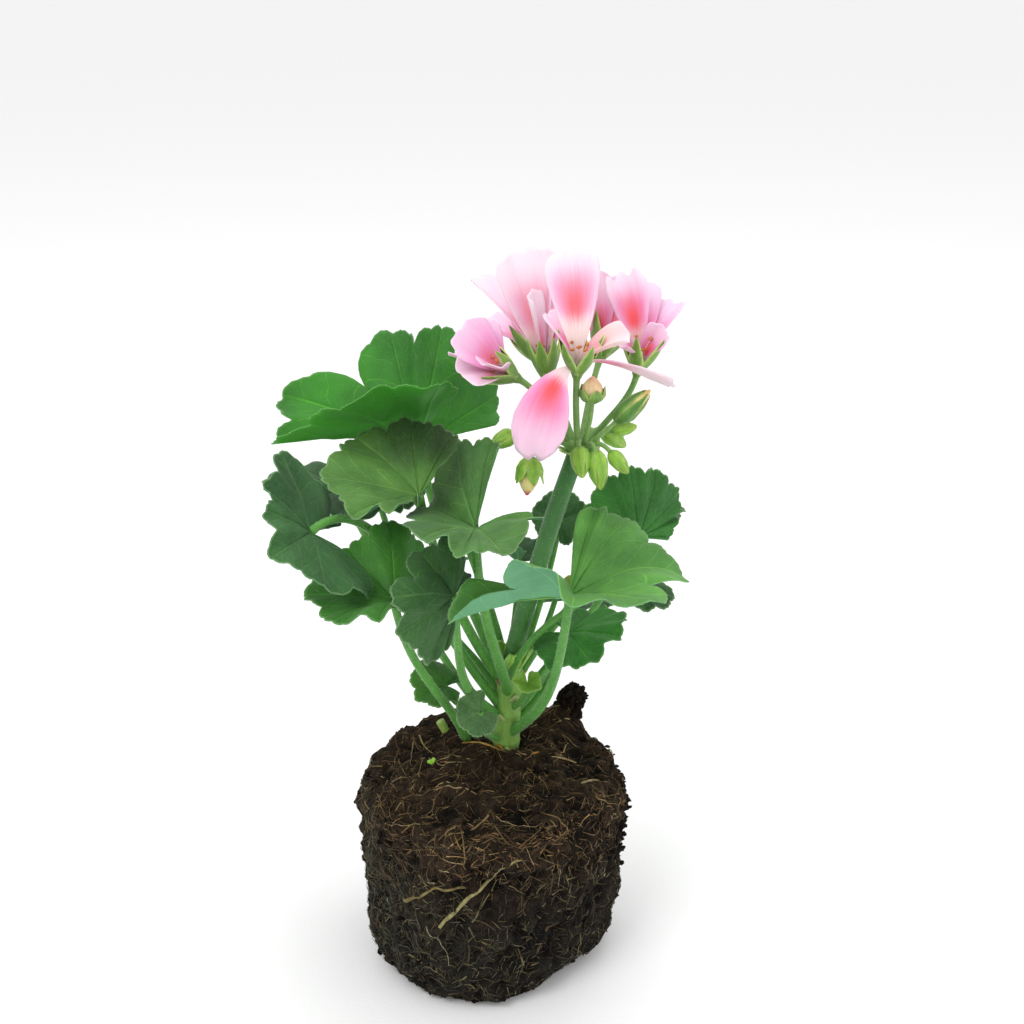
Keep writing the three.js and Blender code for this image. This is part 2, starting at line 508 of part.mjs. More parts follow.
function trussSolid() {
  const curve = smooth([stemAt(1), ...STALK.path.map(point)], 8);
  const stalk = sweep(curve, taper(8, STALK.radius + 0.7, STALK.radius), STALK.sides);
  const knob = sweep([-3, 0, 2.5].map((z) => UMBEL.clone().add(vec(0, 0, z))), [STALK.radius, 4.8, 3.4], 6);
  const florets = FLORETS.flatMap((floret) => [
    calyxSolid(floret),
    pedicelSolid(point(floret.base), point(floret.axis).normalize(), 1.15),
  ]);
  const buds = BUDS.flatMap((bud) => {
    const facing = point(bud.tip).sub(point(bud.foot)).normalize();
    return [budSolid(bud), pedicelSolid(point(bud.foot), facing, 0.85)];
  });
  return fuse([stalk, knob, ...florets, ...buds]);
}

// The part

const colours = { peat: 0x3a2a1f, stem: 0x6f9a4b, leaf: 0x3f7a35, stalk: 0x4d8a3f, petal: 0xf6a6c1 };
const pelargonium = new THREE.Group();

function addNode(name, body, colour) {
  const { numProp, vertProperties, triVerts } = body.getMesh();
  const positions = new Float32Array((vertProperties.length / numProp) * 3);
  for (let i = 0; i < positions.length / 3; i++) {
    positions.set(vertProperties.subarray(i * numProp, i * numProp + 3), i * 3);
  }
  const geometry = new THREE.BufferGeometry();
  geometry.setAttribute("position", new THREE.BufferAttribute(positions, 3));
  geometry.setIndex(new THREE.BufferAttribute(new Uint32Array(triVerts), 1));
  const mesh = new THREE.Mesh(geometry, new THREE.MeshStandardMaterial({ color: colour, roughness: 0.6, metalness: 0 }));
  mesh.name = name;
  pelargonium.add(mesh);
}

const planted = LEAVES.filter((leaf) => leaf.start).map((leaf) => petioleSolid(leaf, 2 * GAP));
addNode("root_ball", cutClear(ballSolid(), [stemSolid(GAP), stubSolid(GAP), ...planted]), colours.peat);
addNode("stem", stemSolid(), colours.stem);
addNode("cut_stub", stubSolid(), colours.stem);
const corollas = FLORETS.map((floret) => corollaSolid(floret, GAP));
addNode("flower_truss", cutClear(trussSolid(), [stemSolid(GAP), ...corollas]), colours.stalk);
for (const floret of FLORETS) addNode(floret.name, corollaSolid(floret), colours.petal);
for (const leaf of LEAVES) addNode(leaf.name, leafSolid(leaf), colours.leaf);

export default pelargonium;
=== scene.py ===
# A young zonal pelargonium with its bare peat root ball: leaves, petals, stems and fibres over the CAD frame.
# Shapes are worked out in millimetres and made in metres. They follow the solids' formulas with finer relief, and
# most of the solids' values. The sepals, most buds, a few petals and leaves and the thickness of blades and
# petals have values of their own.
import math
from dataclasses import dataclass

import bpy
import mathutils
import numpy as np
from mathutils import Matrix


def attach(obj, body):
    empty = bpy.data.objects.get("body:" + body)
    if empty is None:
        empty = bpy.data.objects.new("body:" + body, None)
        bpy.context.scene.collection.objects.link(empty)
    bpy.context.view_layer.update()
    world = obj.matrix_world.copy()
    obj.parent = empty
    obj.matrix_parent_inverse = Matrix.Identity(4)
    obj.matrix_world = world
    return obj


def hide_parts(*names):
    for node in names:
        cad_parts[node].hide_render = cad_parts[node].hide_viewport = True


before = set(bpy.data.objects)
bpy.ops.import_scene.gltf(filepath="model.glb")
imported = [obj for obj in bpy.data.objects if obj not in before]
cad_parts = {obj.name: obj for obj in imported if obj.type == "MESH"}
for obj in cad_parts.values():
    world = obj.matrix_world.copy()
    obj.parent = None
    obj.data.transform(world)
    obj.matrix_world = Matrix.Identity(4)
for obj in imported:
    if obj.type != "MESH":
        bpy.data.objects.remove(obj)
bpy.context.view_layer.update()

MM = 0.001
UP = np.array([0.0, 0.0, 1.0])
rng = np.random.default_rng(20260)


# Small maths

def vec(*values):
    return np.array(values, dtype=float)


def unit(v):
    v = np.asarray(v, dtype=float)
    return v / np.maximum(np.linalg.norm(v, axis=-1, keepdims=True), 1e-12)


def heading(compass, rise):
    compass, rise = math.radians(compass), math.radians(rise)
    return vec(math.cos(rise) * math.cos(compass), math.cos(rise) * math.sin(compass), math.sin(rise))


def ray(axis, angle):
    """The direction square to axis at an angle round it."""
    level = vec(1, 0, 0) if abs(axis[2]) > 0.9 else UP
    first = unit(level - axis * np.dot(level, axis))
    return np.cos(angle) * first + np.sin(angle) * np.cross(axis, first)


def between(a, b, share):
    return a * (1 - share) + b * share


def smoothstep(low, high, x):
    t = np.clip((x - low) / (high - low), 0, 1)
    return t * t * (3 - 2 * t)


def bezier(a, b, c, d, t):
    t = t[:, None]
    return a * (1 - t) ** 3 + 3 * b * t * (1 - t) ** 2 + 3 * c * t * t * (1 - t) + d * t ** 3


def catmull(a, b, c, d, t):
    """A Catmull-Rom curve from b to c, with a before and d after them."""
    square, cube = 2 * a - 5 * b + 4 * c - d, 3 * b - a - 3 * c + d
    return 0.5 * (2 * b + (c - a) * t + square * t * t + cube * t ** 3)


def through(points, count):
    """count points on a curve through points."""
    p = np.array(points, dtype=float)
    p = np.vstack([2 * p[0] - p[1], p, 2 * p[-1] - p[-2]])
    x = np.linspace(0, len(p) - 3, count)
    i = np.minimum(x.astype(int), len(p) - 4)
    return catmull(p[i], p[i + 1], p[i + 2], p[i + 3], (x - i)[:, None])


def patch(rows, columns):
    """Two grids over a small sheet: from 0 at its foot to 1 at its tip, and from -1 to 1 across it."""
    u, v = np.meshgrid(np.linspace(0, 1, rows), np.linspace(-1, 1, columns), indexing="ij")
    return u[..., None], v[..., None]


def lattice(ix, iy, iz, seed):
    h = (ix * 374761393 + iy * 668265263 + iz * 2147483647 + seed * 1274126177) & 0xFFFFFFFF
    h = ((h ^ (h >> 13)) * 1274126177) & 0xFFFFFFFF
    return ((h ^ (h >> 16)) & 0xFFFF) / 32767.5 - 1


def noise(points, size, seed=0):
    """Smooth values between -1 and 1 that vary over about size millimetres."""
    p = points / size + 1000
    i = np.floor(p).astype(np.int64)
    f = p - i
    f = f * f * (3 - 2 * f)
    total = 0
    for corner in np.ndindex(2, 2, 2):
        weight = np.prod(np.where(corner, f, 1 - f), axis=-1)
        total = total + weight * lattice(*np.moveaxis(i + corner, -1, 0), seed)
    return total


def drawer(seed):
    """The same repeatable draws between -1 and 1 as the solids use."""
    state = [seed]

    def draw():
        state[0] = (state[0] * 1664525 + 1013904223) % 4294967296
        return state[0] / 2147483648 - 1

    return draw


def colour(code):
    """Linear red, green and blue of an #rrggbb screen colour."""
    c = np.array([int(code[i:i + 2], 16) for i in (1, 3, 5)]) / 255
    return np.where(c <= 0.04045, c / 12.92, ((c + 0.055) / 1.055) ** 2.4)


def palette(*codes):
    return np.array([colour(code) for code in codes])


# Meshes

def place(name, data):
    piece = bpy.data.objects.new(name, data)
    bpy.context.scene.collection.objects.link(piece)
    return piece


class Shape:
    """Points, faces and per-point values that grow into one mesh."""

    def __init__(self):
        self.points, self.faces, self.values, self.count = [], [], {}, 0

    def add(self, points, faces, **values):
        points = points.reshape(-1, 3)
        self.points.append(points)
        self.faces += [f + self.count for f in faces]
        for name, value in values.items():
            self.values.setdefault(name, []).append(np.broadcast_to(value, points.shape))
        self.count += len(points)

    def build(self, name, material, slot, nodes=(), smooth=True):
        mesh = bpy.data.meshes.new(name)
        mesh.vertices.add(self.count)
        mesh.vertices.foreach_set("co", (np.concatenate(self.points) * MM).ravel())
        sizes = np.concatenate([np.full(len(f), f.shape[1]) for f in self.faces])
        corners = np.concatenate([f.ravel() for f in self.faces])
        mesh.loops.add(len(corners))
        mesh.loops.foreach_set("vertex_index", corners)
        mesh.polygons.add(len(sizes))
        mesh.polygons.foreach_set("loop_start", np.concatenate([[0], np.cumsum(sizes)[:-1]]))
        mesh.polygons.foreach_set("use_smooth", np.full(len(sizes), smooth))
        mesh.update(calc_edges=True)
        for key, parts in self.values.items():
            layer = mesh.attributes.new(key, "FLOAT_VECTOR", "POINT")
            layer.data.foreach_set("vector", np.concatenate(parts).ravel())
        mesh.materials.append(material)
        piece = place(name, mesh)
        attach(piece, "root")
        if nodes:
            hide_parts(*nodes)


def tubes(shape, paths, radii, sides, dye=None):
    """Tubes along paths (tubes, steps, 3) with radii to match; gives two rays square to them at each step."""
    if paths.ndim == 2:
        paths = paths[None]
    count, steps = paths.shape[:2]
    tangent = unit(np.gradient(paths, axis=1))
    first = np.where(np.abs(tangent[:, 0, 2:]) < 0.9, UP, vec(1, 0, 0))
    side = np.empty_like(paths)
    for i in range(steps):
        first = unit(first - np.sum(first * tangent[:, i], axis=-1, keepdims=True) * tangent[:, i])
        side[:, i] = first
    up = np.cross(tangent, side)
    angles = (np.arange(sides) * 2 * math.pi / sides)[:, None]
    ring = side[:, :, None] * np.cos(angles) + up[:, :, None] * np.sin(angles)
    points = paths[:, :, None] + ring * np.broadcast_to(radii, (count, steps))[:, :, None, None]
    k = np.arange(sides)
    a = (np.arange(steps - 1)[:, None] * sides + k).ravel()
    b = (np.arange(steps - 1)[:, None] * sides + (k + 1) % sides).ravel()
    offsets = (np.arange(count) * steps * sides)[:, None, None]
    walls = np.stack([a, b, b + sides, a + sides], axis=1) + offsets
    ends = np.stack([k[::-1], (steps - 1) * sides + k]) + offsets
    faces = [walls.reshape(-1, 4), ends.reshape(-1, sides)]
    if dye is None:
        shape.add(points, faces)
    else:
        dye = np.expand_dims(dye, {1: (), 2: (1, 2), 3: 2}[dye.ndim])
        shape.add(points, faces, dye=np.broadcast_to(dye, points.shape).reshape(-1, 3))
    return side, up


def sheet(shape, grid, half, **values):
    """A closed skin, half thick on each side of a grid (rows, columns, 3); gives the grid's normals."""
    rows, columns = grid.shape[:2]
    n = rows * columns
    normal = unit(np.cross(np.gradient(grid, axis=0), np.gradient(grid, axis=1)))
    index = np.arange(n).reshape(rows, columns)
    quads = np.stack([index[:-1, :-1], index[1:, :-1], index[1:, 1:], index[:-1, 1:]], axis=-1).reshape(-1, 4)
    edge = np.concatenate([index[0, :-1], index[:-1, -1], index[-1, :0:-1], index[:0:-1, 0]])
    following = np.roll(edge, -1)
    rim = np.stack([edge, following, following + n, edge + n], axis=1)
    both = {name: np.tile(np.broadcast_to(v, grid.shape).reshape(-1, 3), (2, 1))
            for name, v in values.items()}
    shape.add(np.stack([grid + normal * half, grid - normal * half]), [quads, quads[:, ::-1] + n, rim],
              **both, side=np.repeat([0.0, 1.0], n)[:, None])
    return normal


hairs = Shape()


def add_hairs(roots, directions, lengths, thickness):
    """Fine three-sided hairs."""
    directions = unit(directions)
    other = unit(np.cross(directions, vec(0.31, 0.52, 0.79)))
    third = np.cross(directions, other)
    foot = roots - 0.05 * directions
    turns = [2 * math.pi * k / 3 for k in range(3)]
    corners = [foot + thickness * (math.cos(a) * other + math.sin(a) * third) for a in turns]
    tips = roots + directions * np.broadcast_to(lengths, len(roots))[:, None]
    base = np.array([[0, 1, 3], [1, 2, 3], [2, 0, 3], [0, 2, 1]])
    faces = base + (np.arange(len(roots)) * 4)[:, None, None]
    hairs.add(np.stack([*corners, tips], axis=1), [faces.reshape(-1, 3)])


def hairy_tube(shape, path, radii, sides, dye, density, length, relief=0):
    """A tube with density hairs a millimetre; relief is added to the radii but lifts no hair's foot."""
    side, up = tubes(shape, path, radii + relief, sides, dye)
    n = int(np.linalg.norm(np.diff(path, axis=0), axis=1).sum() * density)
    at = rng.uniform(0, len(path) - 1.001, n)
    k = at.astype(int)
    f = (at - k)[:, None]
    turn = rng.uniform(0, 2 * math.pi, n)[:, None]

    def here(table):
        return between(table[k], table[k + 1], f)

    out = unit(here(side[0]) * np.cos(turn) + here(up[0]) * np.sin(turn))
    roots = here(path) + out * here(radii[:, None]) * 0.98
    add_hairs(roots, out + 0.35 * rng.normal(size=out.shape), length * rng.uniform(0.5, 1.2, n), 0.045)


# Materials: noise scales are per metre, and a colour pair gives how far a pattern darkens and lightens

class Value:
    """An output of a material's node, with arithmetic that adds nodes."""

    def __init__(self, graph, socket):
        self.graph, self.socket = graph, socket

    def __add__(self, other):
        return self.graph.math("ADD", self, other)

    def __sub__(self, other):
        return self.graph.math("SUBTRACT", self, other)

    def __rsub__(self, other):
        return self.graph.math("SUBTRACT", other, self)

    def __mul__(self, other):
        return self.graph.math("MULTIPLY", self, other)

    def __truediv__(self, other):
        return self.graph.math("DIVIDE", self, other)

    def __pow__(self, other):
        return self.graph.math("POWER", self, other)

    def __abs__(self):
        return self.graph.math("ABSOLUTE", self)

    def ramp(self, low, high, to_low=0.0, to_high=1.0):
        return self.graph.node("ShaderNodeMapRange", {"Value": self, "From Min": low, "From Max": high,
                                                      "To Min": to_low, "To Max": to_high},
                               interpolation_type="SMOOTHSTEP")


class Graph:
    """A material's nodes."""

    def __init__(self, name, **shader):
        self.material = bpy.data.materials.new(name)
        self.material.use_nodes = True
        self.tree = self.material.node_tree
        self.shader = self.tree.nodes["Principled BSDF"]
        for key, value in shader.items():
            self.put(self.shader.inputs[key.replace("_", " ")], value)

    def put(self, socket, value):
        if isinstance(value, Value):
            self.tree.links.new(value.socket, socket)
        else:
            socket.default_value = (*value, 1) if socket.type == "RGBA" else value

    def node(self, kind, inputs, output=0, **settings):
        node = self.tree.nodes.new(kind)
        for key, value in settings.items():
            setattr(node, key, value)
        for key, value in inputs.items():
            self.put(node.inputs[key], value)
        return Value(self, node.outputs[output])

    def math(self, operation, *values):
        return self.node("ShaderNodeMath", dict(enumerate(values)), operation=operation)

    def mix(self, factor, a, b, blend="MIX"):
        return self.node("ShaderNodeMix", {0: factor, 6: a, 7: b}, 2, data_type="RGBA", blend_type=blend)

    def times(self, a, b):
        return self.mix(1.0, a, b, "MULTIPLY")

    def dapple(self, base, pattern, low, high, start=0.3, end=0.7):
        """base times a colour between low and high, where pattern goes from start to end."""
        return self.times(base, self.mix(pattern.ramp(start, end), low, high))

    def read(self, name, output="Color"):
        return self.node("ShaderNodeAttribute", {}, output, attribute_name=name)

    def split(self, name):
        vector = self.read(name, "Vector")
        return [self.node("ShaderNodeSeparateXYZ", {0: vector}, part) for part in range(3)]

    def coordinates(self):
        return self.node("ShaderNodeTexCoord", {}, "Object")

    def noise(self, scale, detail=3.0, rough=0.55, vector=None):
        return self.node("ShaderNodeTexNoise", {"Vector": vector or self.coordinates(), "Scale": scale,
                                                "Detail": detail, "Roughness": rough})

    def finish(self, paint, bump=None, distance=0.0, strength=1.0, rough=None):
        """Sets the colour, a bump distance metres high and the roughness, and gives the material."""
        self.put(self.shader.inputs["Base Color"], paint)
        if bump:
            normal = self.node("ShaderNodeBump", {"Height": bump, "Distance": distance, "Strength": strength})
            self.put(self.shader.inputs["Normal"], normal)
        if rough:
            self.put(self.shader.inputs["Roughness"], rough)
        return self.material


VEINS = {"spread": 0.82, "slope": 1.35, "branches": 5.5, "full_radius": 30}


def leaf_material():
    """Reads blade (lobe position, share of the way to the margin, radius), tint above with painted shade on some
    lobes, dye below and side.
    """
    g = Graph("leaf_blade", Roughness=0.62, Subsurface_Weight=0.12, Subsurface_Scale=0.0012,
              Subsurface_Radius=(0.5, 1.0, 0.2), Sheen_Weight=0.07, Sheen_Roughness=0.5,
              Sheen_Tint=(0.75, 0.95, 0.75), Specular_IOR_Level=0.25)
    position, share, radius = g.split("blade")
    under = g.math("GREATER_THAN", g.split("side")[0], 0.5)
    lateral = abs(position - g.math("ROUND", position)) * (share * VEINS["spread"])
    small = g.math("MINIMUM", 1.0, radius / VEINS["full_radius"])
    main = (lateral * radius / small).ramp(0.22, 0.85, 1.0, 0.0) * share.ramp(0.75, 1.0, 1.0, 0.35)
    rise = share - lateral * VEINS["slope"] + g.noise(90.0, 2.0) * 0.05
    line = abs(g.math("FRACT", rise * VEINS["branches"]) - 0.5) * radius
    branch = line.ramp(0.6, 2.4, 1.0, 0.0) * share.ramp(0.2, 0.4) * 0.55
    vein = g.math("MAXIMUM", main, branch) * small ** 0.6
    cells = g.node("ShaderNodeTexVoronoi", {"Vector": g.coordinates(), "Scale": 620.0},
                   feature="DISTANCE_TO_EDGE")
    net = cells.ramp(0.0, 0.12, 1.0, 0.0)
    zone = share.ramp(0.38, 0.52) * share.ramp(0.62, 0.78, 1.0, 0.0)
    # Broad patches: partly the leaf's own uneven tone and partly painted shade, which adds light and dark across
    # the blades.
    broad_patches_and_shade, fine = g.noise(38.0), g.noise(900.0, 4.0)
    base = g.dapple(g.read("tint"), broad_patches_and_shade, (0.62, 0.7, 0.64), (1.26, 1.2, 1.14))
    base = g.mix(zone * 0.22, base, g.times(base, (0.6, 0.68, 0.55)))
    base = g.mix(fine.ramp(0.35, 0.75) * 0.07, base, (0.3, 0.42, 0.28))
    pale = g.times(base, (2.3, 1.75, 1.7))
    base = g.mix(net * 0.12, g.mix(vein * 0.75, base, pale), pale)
    rim = ((1.0 - share) * radius).ramp(0.25, 0.9, 1.0, 0.0)
    base = g.mix(rim * 0.28, base, (0.36, 0.55, 0.26))
    below = g.dapple(g.read("dye"), broad_patches_and_shade, (0.85, 0.88, 0.85), (1.12, 1.12, 1.08))
    below = g.mix(vein * 0.45, below, g.times(below, (1.8, 1.5, 1.5)))
    height = vein * (under * 2.0 - 1.0) + net * -0.12 + fine * 0.25
    return g.finish(g.mix(under, base, below), height, 0.00025, 0.8, fine.ramp(0.2, 0.8, 0.5, 0.72))


def green_material(name, speckle=0.1):
    """Stems and calyces: reads dye, with fine streaks along the surface and a soft bloom of hairs."""
    g = Graph(name, Roughness=0.5, Subsurface_Weight=0.15, Subsurface_Scale=0.0012,
              Subsurface_Radius=(0.6, 1.0, 0.25), Sheen_Weight=0.1, Sheen_Roughness=0.5)
    drawn = g.node("ShaderNodeMapping", {"Vector": g.coordinates(), "Scale": (1.0, 1.0, 0.22)})
    streak = g.noise(650.0, vector=drawn)
    base = g.dapple(g.read("dye"), streak, (0.84, 0.86, 0.82), (1.12, 1.12, 1.08))
    base = g.dapple(base, g.noise(70.0), (0.86, 0.9, 0.84), (1.1, 1.08, 1.05))
    dots = g.noise(1500.0, 2.0).ramp(0.62, 0.72)
    base = g.mix(dots * speckle, base, (0.75, 0.85, 0.6))
    return g.finish(base, streak + dots * 0.6, 0.00015, 0.7, streak.ramp(0.2, 0.8, 0.42, 0.6))


def hair_material():
    g = Graph("plant_hairs", Roughness=0.5, Sheen_Weight=0.2)
    return g.finish(g.mix(g.noise(500.0, 1.0), (0.62, 0.78, 0.56), (0.86, 0.93, 0.8)))


def petal_material():
    """Reads petal (share along, place across, blush) and dye, the petal's own pink."""
    g = Graph("petal", Roughness=0.55, Subsurface_Weight=0.3, Subsurface_Scale=0.0012,
              Subsurface_Radius=(1.0, 0.55, 0.6), Sheen_Weight=0.25, Sheen_Roughness=0.4,
              Specular_IOR_Level=0.35)
    along, across, blush = g.split("petal")
    dye = g.read("dye")
    fan = g.node("ShaderNodeCombineXYZ", {0: across * 22.0, 1: along * 2.6, 2: blush})
    streak, coarse = g.noise(1.0, 4.0, 0.6, fan), g.noise(0.35, 2.0, 0.5, fan)
    jag = (streak - 0.5) * 0.15
    reach, even, narrow = along + jag, along + jag * 0.7, abs(across)
    base = g.mix(reach.ramp(0.5, 0.95), dye, g.mix(0.5, dye, (0.98, 0.9, 0.95)))
    haze = reach.ramp(0.1, 0.3) * reach.ramp(0.4, 0.7, 1.0, 0.0) * narrow.ramp(0.6, 1.1, 1.0, 0.3)
    base = g.mix(haze * (blush * 0.85), base, (0.87, 0.2, 0.5))
    claw = (along + jag * 0.5).ramp(0.08, 0.26, 1.0, 0.0)
    base = g.mix(claw * 0.85, base, (0.97, 0.82, 0.76))
    lines = streak.ramp(0.52, 0.62) * along.ramp(0.3, 0.7, 1.0, 0.1)
    base = g.mix(lines * (blush * 0.28), base, (0.86, 0.14, 0.32))
    base = g.mix(coarse.ramp(0.35, 0.7) * 0.15, base, (0.98, 0.8, 0.9))
    heart = even.ramp(0.08, 0.28) * even.ramp(0.3, 0.62, 1.0, 0.0)
    heart = heart * (narrow + jag * 1.2).ramp(0.12, 0.86, 1.0, 0.0)
    base = g.times(g.mix(heart * blush, base, (0.95, 0.11, 0.11)), (0.91, 0.86, 0.89))
    height = streak + g.noise(1400.0, 2.0) * 0.25
    return g.finish(base, height, 0.00022, 0.5, streak.ramp(0.2, 0.8, 0.46, 0.64))


def peat_material():
    g = Graph("peat", Roughness=0.95, Specular_IOR_Level=0.12)
    crumb = g.noise(420.0, 6.0, 0.7)
    base = g.dapple(g.read("dye"), crumb, (0.4, 0.4, 0.4), (1.6, 1.5, 1.4), 0.32, 0.72)
    base = g.mix(g.noise(60.0, 4.0).ramp(0.45, 0.75) * 0.5, base, (0.012, 0.009, 0.006))
    base = g.mix(g.noise(1500.0, 1.0).ramp(0.7, 0.78) * 0.6, base, (0.13, 0.1, 0.06))
    return g.finish(base, crumb + g.noise(1400.0, 4.0, 0.65) * 0.5, 0.0014)


def fibre_material():
    g = Graph("root_fibres", Roughness=0.78, Specular_IOR_Level=0.25)
    base = g.dapple(g.read("dye"), g.noise(350.0), (0.55, 0.52, 0.5), (1.3, 1.25, 1.2), 0.25, 0.75)
    return g.finish(base, g.noise(2200.0), 0.00012, 0.7)


def grained_material(name, low, high, **shader):
    g = Graph(name, **shader)
    grain = g.noise(900.0)
    return g.finish(g.mix(grain.ramp(0.3, 0.7), low, high), grain, 0.00015, 0.6)


BLADE = leaf_material()
GREEN = green_material("green_stem")
CALYX = green_material("calyx_green", 0.2)
HAIR = hair_material()
PINK = petal_material()
PEAT = peat_material()
FIBRE = fibre_material()
ANTHER = grained_material("anther", (0.42, 0.13, 0.02), (0.62, 0.24, 0.05), Roughness=0.7)


# The stem and what the leaves and the stalk grow from

STEM = {"foot": vec(5, 12, 74), "top": vec(9, 9, 126), "foot_radius": 6.2, "top_radius": 4.6}
STUB = {"foot": vec(-14.6, 20, 80), "top": vec(-21.2, 20, 93.4), "radius": 1.9}
STALK = {"path": [(14, 5, 150), (24, 1, 188), (34, -5, 222)], "radius": 3.3}
PETIOLE = {"foot_radius": 2.3, "tip_radius": 1.6}
TIP_FOOT = vec(9, 7, 124)
GOLDEN_TURN = 2.4


def stem_at(share):
    return between(STEM["foot"], STEM["top"], share)


def stem_radius(share):
    return between(STEM["foot_radius"], STEM["top_radius"], share)


def build_stem():
    shape = Shape()
    t = np.linspace(0, 1, 60)
    path = stem_at(1.02 * t[:, None])
    rings = 0.35 * np.maximum(0, np.sin(t * 26)) ** 6 + 0.25 * noise(path, 6, 11)
    dye = between(colour("#74983f"), colour("#88b854"), t[:, None])
    hairy_tube(shape, path, stem_radius(t), 26, dye[None], 9.0, 0.55, rings)
    shape.build("stem_core", GREEN, "stem", ["stem"])


def build_scales():
    shape = Shape()
    u, v = patch(7, 7)
    width = 2.4 * (1 - u ** 1.6) + 0.1
    count = 15
    for k in range(count):
        share = 0.12 + 0.86 * k / count
        out = ray(UP, GOLDEN_TURN * k)
        root = stem_at(share) + out * stem_radius(share)
        grid = (root + u * (out * 1.6 + UP * 3.6) + v * width * np.cross(UP, out)
                + (u * (1 - v * v) * 0.6 - 0.35 * v * v) * out)
        sheet(shape, grid, 0.16, dye=colour("#a8b878" if k % 3 else "#8a6a48"))
    shape.build("stem_scales", GREEN, "stem")


def build_stub():
    shape = Shape()
    t = np.linspace(0, 1, 14)
    path = between(STUB["foot"], STUB["top"], t[:, None])
    radii = STUB["radius"] * (1 - 0.1 * t) + 0.12 * noise(path, 3, 4)
    hairy_tube(shape, path, radii, 16, colour("#8fae4a"), 8.0, 0.5)
    shape.build("stub_core", GREEN, "stem", ["cut_stub"])


def build_tip():
    """Folded young leaves of the growing tip in among the petioles."""
    shape = Shape()
    u, v = patch(10, 19)
    for k in range(7):
        out = ray(UP, GOLDEN_TURN * k)
        width = (4.2 - 0.3 * k) * np.sin(math.pi * (0.12 + 0.8 * u)) ** 0.8
        wave = 0.7 * np.sin(9 * v + k) * u * u
        grid = (TIP_FOOT + out * 2 + u * (out * (5.5 - 0.5 * k) + UP * 9.5)
                + v * width * np.cross(UP, out) + ((1 - v * v) * 1.6 + wave) * out)
        sheet(shape, grid, 0.2, dye=colour("#9ccb62") * (0.9 + 0.05 * k))
    shape.build("growing_tip", GREEN, "leaf")


# Leaves

HALF_THICKNESS = 0.3  # of blades and petals
SINUS = 164  # degrees from the middle lobe to the gap behind the petiole
ARCH = math.radians(10)
MIDDLE_LOBE = 3
FRONT_LEAVES = 9  # these have a finer mesh
FINE_GRID, COARSE_GRID = (210, 22), (140, 15)  # columns and rows


@dataclass
class Leaf:
    """A blade on its petiole.

    compass and rises are the headings of its seven lobes in degrees, and edges those of the blade's two rims
    beside the petiole. sizes scale the lobes, clefts say how deep the gaps between them are, and curls bend
    them towards the margin. leave and arrive are the petiole's directions at its foot and at its tip.
    """
    at: tuple  # where the blade joins the petiole
    radius: float
    foot: object  # a share of the way up the leafy part of the stem, or a point
    leave: tuple
    compass: tuple
    rises: tuple
    tint: str = "#285526"
    under: str = "#4f8a58"
    sizes: tuple = (1,) * 7
    clefts: tuple = (0.1,) * 6
    curls: tuple = (0,) * 7
    edges: tuple = ()
    shaded_lobes: tuple = ()  # lobes with painted shade, darker towards the margin
    arrive: tuple = None
    teeth: float = 0.04
    ruffle: float = 0.03


